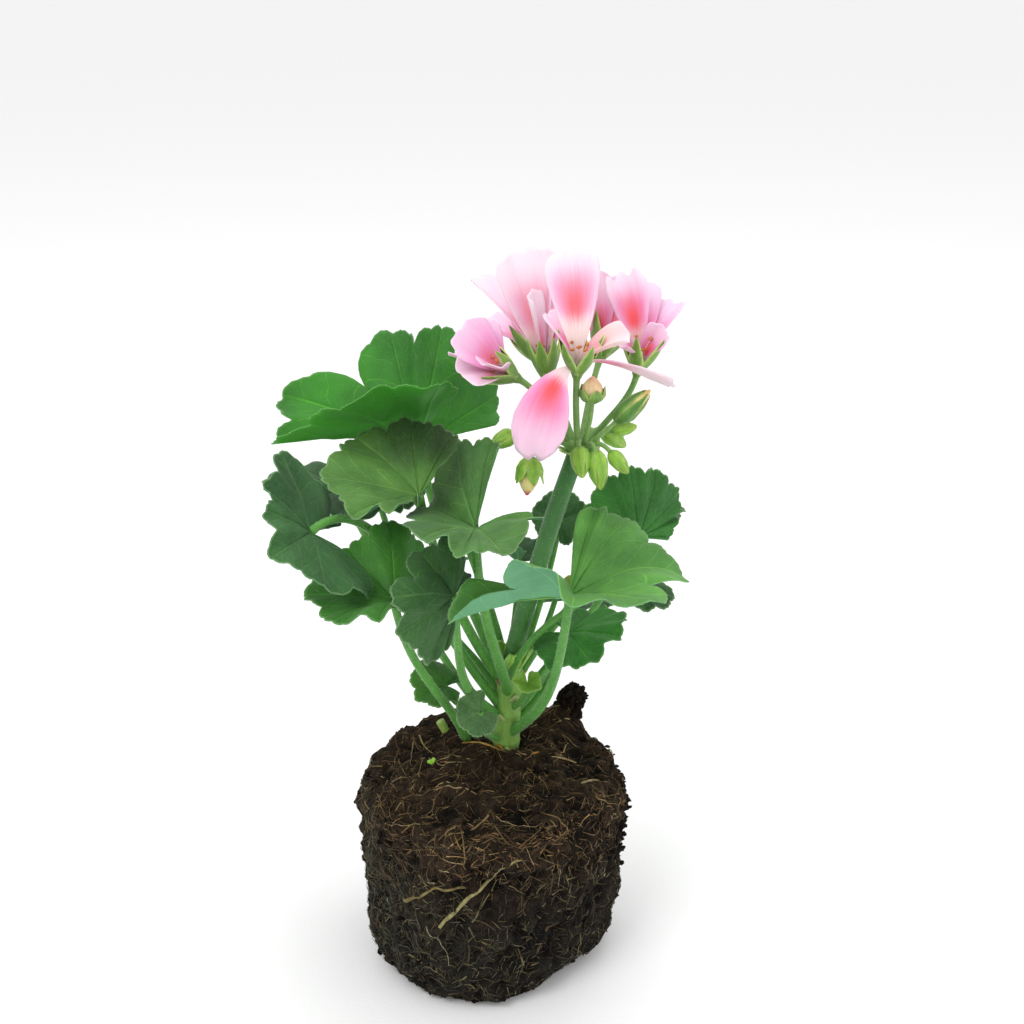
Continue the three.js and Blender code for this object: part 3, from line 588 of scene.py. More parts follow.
LEAVES = [
    Leaf((-29, 28, 213), 54, 0.72, (-0.5, 0.35, 0.8), (42, 70, 110, 172, 200, 232, 290),
         (15, 54, 47, 20, 8, 32, 48), "#2c7618", "#3a8c24", (1, 1, 0.97, 1.07, 1.07, 1, 1),
         (0.1, 0.2, 0.4, 0.12, 0.1, 0.15)),
    Leaf((-26, -15, 206), 38, 0.66, (-0.55, -0.1, 0.8), (62, 99, 138, 195, 233, 256, 268),
         (34, 38, 28, 18, 8, 11, 14), "#4c7a34", "#4a8250", (1, 1, 1, 1, 1, 0.88, 0.5), shaded_lobes=(0.2, 1)),
    Leaf((-4, -44, 204), 41, 0.6, (-0.1, -0.62, 0.78), (75, 105, 125, 240, 265, 285, 380),
         (50, 34, -3, 14, 9, 9, 8), "#467634", "#3f7a50", (1, 1, 0.85, 0.9, 1, 0.95, 0.65),
         (0.1, 0.1, 0.45, 0.08, 0.08, 0.3), shaded_lobes=(1.6,), arrive=(0, 0, 1)),
    Leaf((-63, -50, 205), 34, 0.4, (-0.7, -0.15, 0.85), (72, 135, 205, 228, 250, 290, 355),
         (0, 62, 52, 35, 2, -27, -46), "#2b592b", "#2f7050", (0.75, 0.95, 0.72, 0.7, 0.8, 0.8, 1.1),
         arrive=(-0.5, -0.83, -0.24)),
    Leaf((-34, -45, 176), 33, vec(-8, 19, 76), (-0.1, -0.4, 0.9), (50, 70, 97, 140, 187, 230, 262),
         (-10, 18, 46, 32, 10, 5, 12), "#3a7a26", "#2f7a3a", (1, 1, 1, 0.85, 1, 1, 1)),
    Leaf((-12, -54, 182), 28, 0.3, (-0.6, -0.4, 0.6), (75, 90, 122, 212, 228, 240, 252),
         (18, 42, 20, 12, -14, -50, -65), "#34602f", "#2f6a45", (0.7, 1, 1, 0.9, 1, 1, 0.85),
         (0.2, 0.2, 0.45, 0.1, 0.1, 0.1)),
    Leaf((30, -50, 180), 46, 0.12, (0.5, -0.55, 0.6), (202, 236, 270, 308, 368, 408, 430),
         (0, 38, 22, 17, 22, 38, 40), "#4e8a38", "#629e74", (1.2, 0.95, 1, 1, 1, 1, 1),
         (0.45, 0.1, 0.1, 0.3, 0.1, 0.1), (0, 0, 0, 0, -50, -40, 0), ((186, 18), (442, 38)),
         arrive=(0.12, -0.1, 1), teeth=0.022),
    Leaf((60, 20, 176), 29, 0.6, (0.4, 0.8, 0.6), (25, 40, 45, 62, 115, 150, 165),
         (-8, 8, 28, 56, 70, 52, 12), "#2f7227", "#3a7a45", (0.6, 0.85, 1, 1, 1, 1, 1),
         arrive=(0.6, -0.35, 0.75)),
    Leaf((32, 4, 141), 24, 0.2, (0.7, 0.15, 0.5), (185, 250, 288, 326, 376, 420, 470),
         (-8, -18, -6, 14, 15, 6, 2), "#2f7426", "#3a8a45", (0.68, 0.95, 1, 1, 1, 0.9, 0.72), (0.05,) * 6,
         edges=((172, -6), (488, 2)), teeth=0.055, ruffle=0.06),
    Leaf((-18.5, 9, 115), 15, 0.2, (-0.8, 0, 0.5), (60, 95, 148, 190, 222, 258, 295),
         (-5, 15, 34, 20, -5, -10, 0), "#3c7428", "#3f7a30"),
    Leaf((12, 30, 161), 17, 0.75, (0, 0.6, 0.8), (0, 45, 80, 125, 170, 215, 270),
         (20, 20, 20, 25, 35, 48, 50), "#245226", arrive=(0, 0, 1)),
    Leaf((29, 45, 174), 13, 0.42, (0.2, 0.85, 0.5), (-70, -35, 5, 50, 115, 165, 215),
         (-50, -10, 20, 55, 60, 15, -30)),
    Leaf((-57, 18, 196), 33, 0.5, (-0.5, 0.5, 0.6), (50, 90, 135, 195, 240, 280, 325),
         (-5, 0, 5, 12, 10, 0, 0)),
    Leaf((59, -18, 170), 13, 0.7, (-0.1, -0.55, 0.8), (180, 225, 270, 315, 360, 405, 450),
         (0, -10, -20, -20, -15, -5, 0), arrive=(0.9, -0.4, 0.1)),
    Leaf((-3.5, -18, 117), 10, 0.05, (-0.5, -0.6, 0.5), (80, 130, 160, 200, 250, 330, 380),
         (60, 50, 20, -20, -60, -60, -30), "#3f6438", "#4a7a4a"),
    Leaf((-26, 67, 214), 28, 0.62, (-0.1, 0.6, 0.8), (-50, 0, 45, 95, 140, 190, 235),
         (5, 8, 8, 10, 0, 0, 5)),
    Leaf((-47, 54, 180), 22, 0.38, (-0.5, 0.55, 0.7), (-40, 10, 60, 110, 155, 200, 245),
         (5, 8, -5, -15, -10, 0, 5)),
    Leaf((63, 58, 171), 20, 0.35, (0.6, 0.4, 0.7), (-90, -40, 5, 55, 100, 150, 195),
         (5, 8, 8, 0, -10, 0, 5)),
    Leaf((-36, 54, 148), 28, 0.1, (-0.6, 0.6, 0.4), (-35, 10, 55, 100, 145, 190, 235),
         (5, 8, -5, -15, -10, 0, 5)),
    Leaf((36, 58, 132), 20, 0.05, (0.4, 0.7, 0.5), (-90, -40, 5, 60, 100, 150, 195),
         (5, 8, 0, -10, -10, 0, 5)),
    Leaf((15, -4, 122), 7, 0.45, (0.5, -0.8, 0.4), (150, 175, 200, 260, 320, 370, 400),
         (60, 75, 30, 0, 5, 50, 65), "#7aa93a", "#8ab84c"),
    Leaf((28, 12, 158), 9, 0.72, (0.65, -0.1, 0.75), (100, 150, 200, 250, 300, 350, 400),
         (20, 30, 20, 0, 0, 10, 20), "#84983c", "#84983c"),
]


def lobe_position(angle):
    """Where an angle lies among the lobes, which are 0 to 6."""
    return 3.5 * angle / SINUS + MIDDLE_LOBE


def by_lobe(values, position):
    return np.interp(position, np.arange(len(values)), values)


def margin(leaf, angle):
    """How far out the margin lies at an angle, as a share of the radius."""
    position = lobe_position(angle)
    clefts = np.array([0.1, *leaf.clefts, 0.1, 0.1])
    cleft = clefts[np.clip(np.floor(position).astype(int) + 1, 0, 8)]
    kidney = 1 - 0.24 * np.abs(angle / SINUS) ** 3
    lobes = 1 - cleft * (1 - np.abs(np.cos(math.pi * position)) ** 0.7)
    scallop = np.abs(np.sin(4 * math.pi * position + 0.5 * np.sin(2.3 * position + leaf.radius)))
    fine = np.abs(np.sin(13 * math.pi * position + leaf.radius))
    teeth = 1 + leaf.teeth * (scallop ** 0.8 - 0.6) + 0.01 * fine
    return kidney * lobes * teeth * by_lobe(leaf.sizes, position)


def lobe_knots(leaf):
    """The lobes' directions, with two more at either end."""
    def mirror(edge, inner):
        return unit(2 * edge - inner)

    lobes = [heading(*pair) for pair in zip(leaf.compass, leaf.rises)]
    edges = [heading(*pair) for pair in leaf.edges]
    first = mirror(edges[0], lobes[0]) if edges else mirror(lobes[0], lobes[1])
    final = mirror(edges[1], lobes[-1]) if edges else mirror(lobes[-1], lobes[-2])
    knots = [first, *lobes, final]
    return np.array([mirror(knots[0], knots[1]), *knots, mirror(knots[-1], knots[-2])])


def lobe_direction(knots, position):
    i = np.clip(np.floor(position + 1).astype(int), 0, 7)
    t = np.clip(position + 1 - i, -0.5, 1.5)[..., None]
    return unit(catmull(knots[i], knots[i + 1], knots[i + 2], knots[i + 3], t))


def blade_points(leaf, angle, share):
    """The blade's middle surface at angles and shares of the way to the margin, and its upper side's rays."""
    position, knots = lobe_position(angle), lobe_knots(leaf)
    out = lobe_direction(knots, position)
    onward = lobe_direction(knots, position + 0.05) - lobe_direction(knots, position - 0.05)
    upper = unit(np.cross(out, onward))
    curl = np.radians(by_lobe(leaf.curls, position))
    reach = leaf.radius * margin(leaf, angle)
    along, above, steps = 0, 0, 8
    for i in range(steps):
        s = share * (i + 0.5) / steps
        slope = ARCH * (1 - 2 * s) + curl * np.maximum(0, (s - 0.4) / 0.6)
        along = along + reach * share * np.cos(slope) / steps
        above = above + reach * share * np.sin(slope) / steps
    turn = 2 * math.pi * (position - MIDDLE_LOBE)
    above = above - 0.035 * leaf.radius * share ** 1.5 * np.cos(turn)
    above = above + leaf.ruffle * leaf.radius * share ** 3 * np.sin(1.5 * turn + leaf.radius)
    return vec(*leaf.at) + out * along[..., None] + upper * above[..., None], upper


def add_blade(shape, leaf, columns, rows):
    """Adds a leaf's blade, and returns points along its margin with the rays that point out of it."""
    share = np.concatenate([[0.012], np.linspace(0, 1, rows)[1:] ** 0.9])
    angles, shares = np.meshgrid(np.linspace(-SINUS, SINUS, columns + 1), share)
    points, upper = blade_points(leaf, angles, shares)
    position, radius = lobe_position(angles), leaf.radius
    small = min(1, radius / VEINS["full_radius"])
    lateral = np.abs(position - np.round(position)) * shares * VEINS["spread"]
    valley = np.exp(-(lateral * radius / 0.75) ** 2) * (0.5 - 0.3 * shares) * small
    line = np.abs((shares - VEINS["slope"] * lateral) * VEINS["branches"] % 1 - 0.5) * radius
    branch = np.exp(-(line / 2.0) ** 2) * smoothstep(0.2, 0.4, shares)
    blister = 0.42 * noise(points, 5.5, 3) + 0.8 * noise(points, 15, 8)
    blister = blister * smoothstep(0.1, 0.4, shares) * small
    points = points + upper * (blister - valley - 0.16 * branch * small)[..., None]
    half = HALF_THICKNESS * (1 - 0.35 * smoothstep(0.85, 1, shares)) + 0.5 * np.exp(-(shares / 0.05) ** 2)
    # Painted shade: a leaf's listed lobes darken towards the margin where shadow falls on them, and a mild noise
    # varies the blade's own tone.
    painted_shade = np.zeros_like(shares)
    for lobe in leaf.shaded_lobes:
        painted_shade = np.maximum(painted_shade, smoothstep(1.6, 0.2, np.abs(position - lobe)))
    painted_shade = painted_shade * smoothstep(0.15, 0.8, shares)
    shade_and_tone = (1 - 0.62 * painted_shade) * (1 + 0.14 * noise(points, 22, radius + 5))
    blade = np.stack([position, shares, np.full_like(shares, radius)], axis=-1)
    normal = sheet(shape, points, half[..., None], blade=blade, tint=colour(leaf.tint) * shade_and_tone[..., None],
                   dye=colour(leaf.under))
    edge = points[-1]
    outward = unit(np.cross(normal[-1], np.gradient(edge, axis=0)))
    return edge, outward * np.sign(np.sum(outward * (edge - points[-3]), axis=1, keepdims=True))


def petiole_curve(leaf, t):
    foot = stem_at(0.25 + 0.75 * leaf.foot) if np.isscalar(leaf.foot) else leaf.foot
    tip = vec(*leaf.at)
    outward = unit((tip - foot) * vec(1, 1, 0))
    third = 0.33 * np.linalg.norm(tip - foot)
    arrive = unit(outward * 0.25 + UP * 0.95) if leaf.arrive is None else unit(leaf.arrive)
    return bezier(foot, foot + unit(leaf.leave) * third, tip - arrive * third, tip, t)


def add_petiole(shape, leaf):
    size = min(1, 0.55 + leaf.radius / 90)
    t = np.linspace(0, 1, 30)
    radii = between(PETIOLE["foot_radius"], PETIOLE["tip_radius"], t) * size
    radii = radii * (1 + 0.35 * np.exp(-(t / 0.05) ** 2) + 0.25 * np.exp(-((1 - t) / 0.03) ** 2))
    dye = colour("#4f9433") * (1 - 0.1 * t[:, None])
    hairy_tube(shape, petiole_curve(leaf, t), radii, 12, dye[None], 5.5 * size, 0.62)


def build_leaf(name, leaf, columns, rows):
    blade, petiole = Shape(), Shape()
    edge, outward = add_blade(blade, leaf, columns, rows)
    add_petiole(petiole, leaf)
    n = int(columns * (1.1 if leaf.radius > 20 else 0.6))
    pick = rng.integers(0, columns, n)
    roots = between(edge[pick], edge[pick + 1], rng.uniform(0, 1, (n, 1)))
    add_hairs(roots, outward[pick] + 0.5 * rng.normal(size=(n, 3)), 0.5 * rng.uniform(0.5, 1.3, n), 0.035)
    blade.build(name + "_blade", BLADE, "leaf", [name])
    petiole.build(name + "_petiole", GREEN, "leaf")


# Flower stalk, calyces and buds

UMBEL = vec(*STALK["path"][-1])
SEPAL = {"length": 17, "half_width": 3.0}


@dataclass
class Petal:
    """tip is measured from the floret's base. The sides lift by cup, and a bow sways the petal's middle."""
    tip: tuple
    face: tuple
    half_width: float
    cup: float
    pink: str = None
    blush: float = None
    spot: float = 0.1  # how far out the red heart lies
    notch: float = 0.6
    torn: float = 0
    sway: tuple = (0, 0, 0)
    drop: bool = False  # a drop has a round end and a slim foot


@dataclass
class Floret:
    """Five petals on a calyx at base that faces along axis. turn and spread place its sepals, in degrees."""
    base: tuple
    axis: tuple
    turn: float
    petals: list
    pink: str = "#f8c8e2"
    blush: float = 0.8
    sepals: int = 5
    spread: float = 24


FLORETS = [
    Floret((32.7, -18, 254), (0.05, -0.25, 0.95), 10, [
        Petal((-3, 2, 46), (0, -1, 0.1), 9.2, 0.15, "#fff0f8", spot=0.3),
        Petal((-16.5, -13, -28.5), (-0.1, -1, 0.3), 10.2, 0.15, "#f9c6e2", 0.95, 0.19, 0.9, sway=(-8, -1, -2),
              drop=True),
        Petal((19, -4, 15), (-0.3, -0.3, 0.9), 6, 0.7, "#fbd3cc", 0.4),
        Petal((35, -4, -3), (0.1, 0.35, 0.95), 6, 0.1, "#fadbe6", 0.9),
        Petal((-11, 6, 22), (0.6, -0.7, 0.3), 5, 0.6)]),
    Floret((22.3, 5, 246), (-0.1, -0.05, 1), 0, [
        Petal((-9, 3, 50), (0.1, -1, 0), 11.3, 0.2, "#fff0f6", 0.5, 0.22),
        Petal((-7, -5, 35), (0.9, -0.35, 0), 5, 0.5),
        Petal((-2, 8, 44), (-0.7, -0.7, 0), 6, 0.2),
        Petal((6, 11, 42), (-0.2, -1, 0), 7, 0.2),
        Petal((-27, 16, 36), (0.4, -0.3, 0.6), 7, 0.3)], "#fce0ee", 0.7, 7, 15),
    Floret((11, -8, 250), (-0.8, -0.3, 0.5), 20, [
        Petal((-22, -6, 20), (0.3, -0.8, 0.5), 9, 0.4),
        Petal((-21, -13, 5), (0.2, -0.5, 0.8), 9, 0.5, "#fad6e8", 0.3),
        Petal((-15, 6, 20), (0.3, -0.5, 0.2), 7, 0.3),
        Petal((-24, 8, 8), (0.3, -0.2, 0.9), 7, 0.3),
        Petal((-10, -20, 10), (0.2, 0.4, 0.8), 6, 0.4)], "#f3b2dc", 0.55),
    Floret((56, 0, 250), (0.15, -0.1, 1), 30, [
        Petal((-7, 4, 39), (0.1, -1, 0.1), 7.5, 0.25, "#fbe3f2", spot=0.24, torn=0.09),
        Petal((10, -5, 18), (-0.5, -0.8, 0.2), 5, 0.6),
        Petal((-9, -7, 14), (0.5, -0.2, 0.6), 5, 0.5),
        Petal((15, 14, 24), (-0.6, -0.6, 0.4), 7, 0.3),
        Petal((2, 19, 30), (0, -1, 0.2), 7, 0.3)], "#f6c0e2", 0.95),
    Floret((43, 20, 250), (0.3, 0.5, 0.8), 50, [
        Petal((-6, 6, 32), (0.2, -0.9, 0.2), 8, 0.25),
        Petal((10, 10, 30), (-0.4, -0.8, 0.3), 7, 0.3),
        Petal((20, 18, 14), (-0.4, -0.4, 0.8), 8, 0.3),
        Petal((2, 26, 16), (0, -0.5, 0.9), 8, 0.3),
        Petal((-14, 18, 20), (0.5, -0.5, 0.7), 7, 0.3)]),
    Floret((20, 26, 247), (-0.3, 0.6, 0.7), 70, [
        Petal((2, 6, 35), (0, -0.9, 0.2), 8, 0.25),
        Petal((-14, 8, 30), (0.5, -0.8, 0.3), 7, 0.3),
        Petal((-22, 18, 12), (0.4, -0.4, 0.8), 8, 0.3),
        Petal((-4, 28, 14), (0, -0.5, 0.9), 8, 0.3),
        Petal((12, 18, 22), (-0.5, -0.5, 0.7), 7, 0.3)]),
]


@dataclass
class Bud:
    """Its petals go from skin through core to the colour end, and its sepals have the colour skin."""
    foot: tuple
    tip: tuple
    radius: float
    core: str = "#a3c552"
    skin: str = "#86b63a"
    end: str = "#b5cf6a"
    reach: float = 0.98  # how much of the bud its sepals cover
    flare: float = 0
    swell: float = 1.25
    stretch: float = 0.12


BUDS = [
    Bud((38.5, -15, 243), (38.5, -16, 253), 4.6, "#f4cda6", "#7faa4a", "#f2b49c", 0.6, 0.4, 1, 0),
    Bud((48, -10, 234), (60, -13, 247), 3.6, "#dcd088", "#4f8030", "#d9b070", 0.92, 0, 1, 0),
    Bud((16, -20, 223), (14.5, -22, 209), 4.6, "#f0dc98", "#8cbc3a", "#d4404c", 0.66, 1.6, 1, 0),
    Bud((10, -10, 229), (2, -13, 226), 2.6),
    Bud((40, -15, 224), (42, -17, 211), 3),
    Bud((34, -16, 226), (35, -19, 216), 2.8),
    Bud((46, -10, 222), (52, -12, 215), 2.2),
    Bud((47, -6, 229), (55, -7, 231), 1.9),
    Bud((44, 4, 226), (52, 8, 219), 2.6),
    Bud((38, 10, 224), (41, 18, 213), 3),
    Bud((28, 9, 225), (24, 17, 216), 2.6),
    Bud((24, 4, 226), (15, 8, 221), 2.4),
]


def add_pedicel(shape, end, facing, radius, dye):
    reach = np.linalg.norm(UMBEL - end)
    flat = (end - UMBEL) * vec(1, 1, 0)
    start = UMBEL + 3.2 * unit(flat)
    t = np.linspace(0, 1, 18)
    lift, tail = 0.3 * flat + 0.3 * reach * UP, 0.35 * reach * facing
    path = bezier(start, start + lift, end - tail, end + 0.6 * facing, t)
    radii = radius * (1.1 - 0.1 * t) * (1 + 0.35 * np.exp(-((1 - t) / 0.06) ** 2))
    hairy_tube(shape, path, radii, 10, colour(dye), 6.0, 0.5)


def add_sepal(shape, root, slant, out, length, half_width, dye, bulge=1.2):
    u, v = patch(14, 9)
    across = unit(np.cross(slant, out))
    width = half_width * np.interp(u, [0, 0.15, 0.35, 0.6, 0.85, 1], [0.6, 0.85, 1.0, 0.8, 0.35, 0.05])
    grid = (root + length * u * slant + bulge * np.sin(math.pi * u) * out + v * width * across
            - 0.45 * width * v * v * out)
    shades = between(dye, colour("#cfe08a"), 0.6 * np.abs(v) ** 6)
    sheet(shape, grid, 0.2, dye=shades * (1 - 0.3 * np.exp(-(v / 0.15) ** 2) + 0.25 * np.cos(9 * v) ** 2))
    n = 26
    i, j = rng.integers(1, 13, n), rng.choice([0, 8, 2, 6], n)
    add_hairs(grid[i, j], out + across * np.sign(v[i, j]) + 0.4 * rng.normal(size=(n, 3)), 0.6, 0.04)


def add_stalk(shape):
    t = np.linspace(0, 1, 70)
    path = through([stem_at(1), *STALK["path"]], len(t))
    radii = STALK["radius"] + 0.7 * (1 - t) + 0.15 * noise(path, 9, 21)
    dye = between(colour("#3f7a30"), colour("#2f6c2c"), t[:, None])
    hairy_tube(shape, path, radii, 18, dye[None], 9.0, 0.6)
    z = np.linspace(-3, 2.5, 12)
    knob = 3.3 + 1.5 * np.sin(math.pi * (z + 3) / 5.5) ** 0.8
    tubes(shape, UMBEL + z[:, None] * UP, knob, 16, colour("#6f9f4f"))


def add_calyx(stalk, calyx, number, floret):
    base, axis = vec(*floret.base), unit(floret.axis)
    add_pedicel(stalk, base, axis, 1.15, "#6f9a4c" if number % 2 else "#7aa058")
    t = np.linspace(0, 1, 8)
    tubes(stalk, base + axis * (-1.5 + 3.7 * t)[:, None], 1.3 + 1.3 * t ** 0.7, 14, colour("#6b9440"))
    spread = math.radians(floret.spread)
    for k in range(floret.sepals):
        out = ray(axis, math.radians(floret.turn + 360 / floret.sepals * k))
        slant = axis * math.cos(spread) + out * math.sin(spread)
        add_sepal(calyx, base + out * 2.1 + axis, slant, out, SEPAL["length"], SEPAL["half_width"],
                  colour("#6f963c") * rng.uniform(0.75, 1.15))


def bud_profile(share):
    return np.interp(share, [0, 0.12, 0.3, 0.65, 0.85, 1], [0.4, 0.78, 1, 0.84, 0.5, 0.1])


def add_bud(stalk, calyx, cores, number, bud):
    foot, tip, radius = vec(*bud.foot), vec(*bud.tip), bud.radius * bud.swell
    tip = tip + bud.stretch * (tip - foot)
    facing, length = unit(tip - foot), np.linalg.norm(tip - foot)
    add_pedicel(stalk, foot, facing, 0.85, "#7fa85a")
    t = np.linspace(0, 1, 22)[:, None]
    skin = colour(bud.skin)
    dye = between(skin, colour(bud.core), smoothstep(0.3, 0.6, t))
    dye = between(dye, colour(bud.end), smoothstep(0.8, 0.97, t))
    tubes(cores, foot + (tip - foot) * t, bud_profile(t[:, 0]) * radius * 0.93, 18, dye[None])
    u, v = patch(16, 9)
    along = u * bud.reach
    rise = (bud_profile(along) * radius + 0.12 + bud.flare * u ** 3) * (1 + 0.06 * (1 - v * v))
    wrap = 0.72 * np.interp(u, [0, 0.35, 0.7, 1], [1, 1, 0.7, 0.03])
    for k in range(5):
        out = ray(facing, 0.6 * number + 2 * math.pi / 5 * k + v * wrap)
        grid = foot + facing * (along * length) + out * rise
        dye = between(skin * rng.uniform(0.88, 1.1), colour("#d6e58e"), 0.5 * np.abs(v) ** 5)
        sheet(calyx, grid, 0.14, dye=dye * (1 - 0.25 * np.exp(-(v / 0.2) ** 2)))
        n = 14
        i, j = rng.integers(1, 15, n), rng.integers(0, 9, n)
        add_hairs(grid[i, j], out[i, j] + 0.4 * rng.normal(size=(n, 3)), 0.6, 0.035)


def build_truss():
    stalk, calyx, cores = Shape(), Shape(), Shape()
    add_stalk(stalk)
    for k in range(9):
        out = ray(UP, k * 0.7 + 0.2)
        root, slant = UMBEL + out * 3.6 - UP * 2, unit(out + UP * 0.5)
        add_sepal(calyx, root, slant, -UP, 5.5, 1.6, colour("#86ad58"), 0.3)
    for number, floret in enumerate(FLORETS):
        add_calyx(stalk, calyx, number, floret)
    for number, bud in enumerate(BUDS):
        add_bud(stalk, calyx, cores, number, bud)
    stalk.build("flower_stalk", GREEN, "flower_stalk", ["flower_truss"])
    calyx.build("sepals", CALYX, "flower_stalk")
    cores.build("bud_petals", CALYX, "petal")


# Petals

PETAL_SHARES = [0, 0.1, 0.2, 0.35, 0.5, 0.65, 0.8, 0.92, 1]
PETAL_WIDTHS = [0.12, 0.17, 0.26, 0.46, 0.68, 0.87, 1.02, 1.08, 1.02]
DROP_WIDTHS = [0.1, 0.12, 0.16, 0.36, 0.64, 0.87, 1.0, 0.97, 0.84]


def add_petal(shape, floret, petal, number):
    axis, end = unit(floret.axis), vec(*petal.tip)
    reach = np.linalg.norm(end)
    start = unit(end - axis * np.dot(end, axis)) * 0.8 + axis * 3.6
    bow = start + axis * 0.22 * reach + end * 0.12 + vec(*petal.sway)
    s, k = patch(34, 23)
    spine = start * (1 - s) ** 2 + 2 * bow * s * (1 - s) + end * s ** 2
    tangent = unit(2 * (bow - start) * (1 - s) + 2 * (end - bow) * s)
    face = vec(*petal.face)
    inner = unit(face - np.sum(face * tangent, axis=-1, keepdims=True) * tangent)
    width = petal.half_width * np.interp(s, PETAL_SHARES, DROP_WIDTHS if petal.drop else PETAL_WIDTHS)
    phase = 1.7 * number + floret.turn
    end_round = petal.half_width * (1.0 if petal.drop else 0.62) * (1 - np.sqrt(1 - 0.93 * k * k)) * s ** 5
    notch = 0.05 * reach * np.exp(-((k - 0.1 * math.sin(phase)) / 0.12) ** 2) * s ** 8 * petal.notch
    frill = 0.25 * s ** 6 * np.sin(11 * k + phase)
    fringe = petal.torn * reach * s ** 12 * (0.5 + 0.5 * np.sin(9 * k - 1))
    ruffle = petal.half_width * (0.1 * np.sin(5.5 * k + phase) * s ** 2
                                 + 0.07 * np.sin(12 * k + 2 * phase + 3 * s) * s ** 3 * np.abs(k))
    grid = (vec(*floret.base) + spine + tangent * (frill - end_round - notch - fringe)
            + np.cross(tangent, inner) * (width * k) + inner * (width * petal.cup * k * k + ruffle))
    grid = grid + inner * (0.28 * noise(grid, 5, number + 3)[..., None] * s)
    grid = grid + inner * (np.sin(26 * k + 2 * np.sin(4 * s)) * 0.03 * smoothstep(0, 0.4, s))
    blush = floret.blush if petal.blush is None else petal.blush
    half = HALF_THICKNESS * (1 - 0.5 * np.maximum(s ** 8, np.abs(k) ** 6))
    sheet(shape, grid, half, petal=np.concatenate([s - petal.spot, k, np.full_like(s, blush)], axis=-1),
          dye=colour(petal.pink or floret.pink))


def add_stamens(filaments, anthers, floret):
    base, axis = vec(*floret.base), unit(floret.axis)
    for k in range(7):
        out = ray(axis, 0.9 * k + floret.turn)
        length = 9.5 + 2 * math.sin(3 * k + floret.turn)
        t = np.linspace(0, 1, 10)[:, None]
        path = base + axis * (3.0 + length * t) + out * (0.5 + 2.4 * t * t)
        tubes(filaments, path, 0.28 - 0.12 * t[:, 0], 6, colour("#f3d9df"))
        u = np.linspace(-1, 1, 7)
        lie = unit(np.cross(axis, out) + 0.5 * axis)
        tubes(anthers, path[-1] + lie * 1.1 * u[:, None], 0.62 * np.sqrt(1.05 - u * u), 8)


def build_florets():
    filaments, anthers = Shape(), Shape()
    for index, floret in enumerate(FLORETS, 1):
        name, shape = f"floret_{index}", Shape()
        for number, petal in enumerate(floret.petals):
            add_petal(shape, floret, petal, number)
        shape.build(name + "_petals", PINK, "petal", [name])
        add_stamens(filaments, anthers, floret)
    filaments.build("filaments", CALYX, "petal")
    anthers.build("anthers", ANTHER, "petal")


# Root ball

BALL = {"rim": 54.5, "base": 51, "flat": 44, "height": 80, "crown": 6, "sides": 30}
LEVELS, AROUND = 150, 330  # the surface grid, from the base's edge to near the crown's middle
SIDE_LEVELS = 110  # so many of them go up the side
CROWN_LEVEL = 95
MOUNDS = [((-3, 32), (44, 25), 7.2), ((32, 33), (9, 9), 11)]  # centre, reach along x and y, and rise


def ball_rings():
    rim, base, flat, height, crown = (BALL[key] for key in ("rim", "base", "flat", "height", "crown"))
    flare = rim - base
    profile = [(0, flat), (3, base - 4), (10, base), (26, base + 0.35 * flare), (42, base + 0.6 * flare),
               (58, base + 0.85 * flare), (72, rim), (height - 1, rim - 4),
               (height + 0.4 * crown, 0.66 * rim), (height + crown, 0.3 * rim)]
    draw = drawer(7)
    rings = np.zeros((len(profile), BALL["sides"], 3))
    for level, (z, reach) in enumerate(profile):
        for k in range(BALL["sides"]):
            a = 2 * math.pi * k / BALL["sides"]
            out = reach - max(0, math.cos(a + math.radians(38))) ** 5 * max(0, 1 - z / 36) * 8
            rise = z
            if level:
                out += 1.1 * draw() + 0.9 * math.sin(3 * a + 1.1) + 0.7 * math.sin(5 * a + z / 11)
                rise += 0.8 * draw()
            rings[level, k] = (out * math.cos(a), out * math.sin(a), rise)
    return rings


def ball_surface():
    rings, n = ball_rings(), BALL["sides"]
    top = np.broadcast_to(vec(2, 4, BALL["height"] + BALL["crown"] + 0.5), rings[:1].shape)
    rows = np.concatenate([rings[:1], rings, top, top])
    x = np.linspace(0, n, AROUND + 1)[:-1]
    k = x.astype(int)
    rows = catmull(*(rows[:, (k + i) % n] for i in (-1, 0, 1, 2)), (x - k)[None, :, None])
    steps = np.linalg.norm(rows[2:-1] - rows[1:-2], axis=-1).mean(axis=1)
    gaps = np.concatenate([[0], np.cumsum(steps)])
    y = np.interp(np.linspace(0, gaps[-1] * 0.995, LEVELS), gaps, np.arange(len(gaps)))
    i = np.minimum(y.astype(int), len(rows) - 4)
    return catmull(*(rows[i + j] for j in range(4)), (y - i)[:, None, None])


def grid_normal(grid):
    along = np.gradient(grid, axis=0)
    across = (np.roll(grid, -1, axis=1) - np.roll(grid, 1, axis=1)) / 2
    return unit(np.cross(across, along))


def heap_height(points):
    """How far the peat of the ball's top is heaped up above the plain form."""
    x, y, z = np.moveaxis(points, -1, 0)
    heap = 0
    for (a, b), (p, q), rise in MOUNDS:
        heap = heap + rise * np.exp(-((x - a) / p) ** 2 - ((y - b) / q) ** 2)
    return heap * smoothstep(74, 80, z)


PLAIN = ball_surface()
ROUGHNESS = sum(depth * noise(PLAIN, size, seed)
                for depth, size, seed in ((1.6, 12, 31), (1.9, 5.5, 32), (1.35, 2.6, 33), (0.45, 1.3, 34)))
HEAPED = PLAIN + heap_height(PLAIN)[..., None] * UP
SURFACE = HEAPED + grid_normal(PLAIN) * ((ROUGHNESS - 0.6) * smoothstep(0, 6, PLAIN[..., 2]))[..., None]
NORMALS = grid_normal(HEAPED)
RADIUS_AT = np.linalg.norm(PLAIN[..., :2], axis=-1).mean(axis=1)
HEIGHT_AT = PLAIN[..., 2].mean(axis=1)
LEVEL_STEP = np.linalg.norm(np.diff(PLAIN, axis=0), axis=-1).mean()


def by_level(table, v):
    return np.interp(v, np.arange(LEVELS), table)


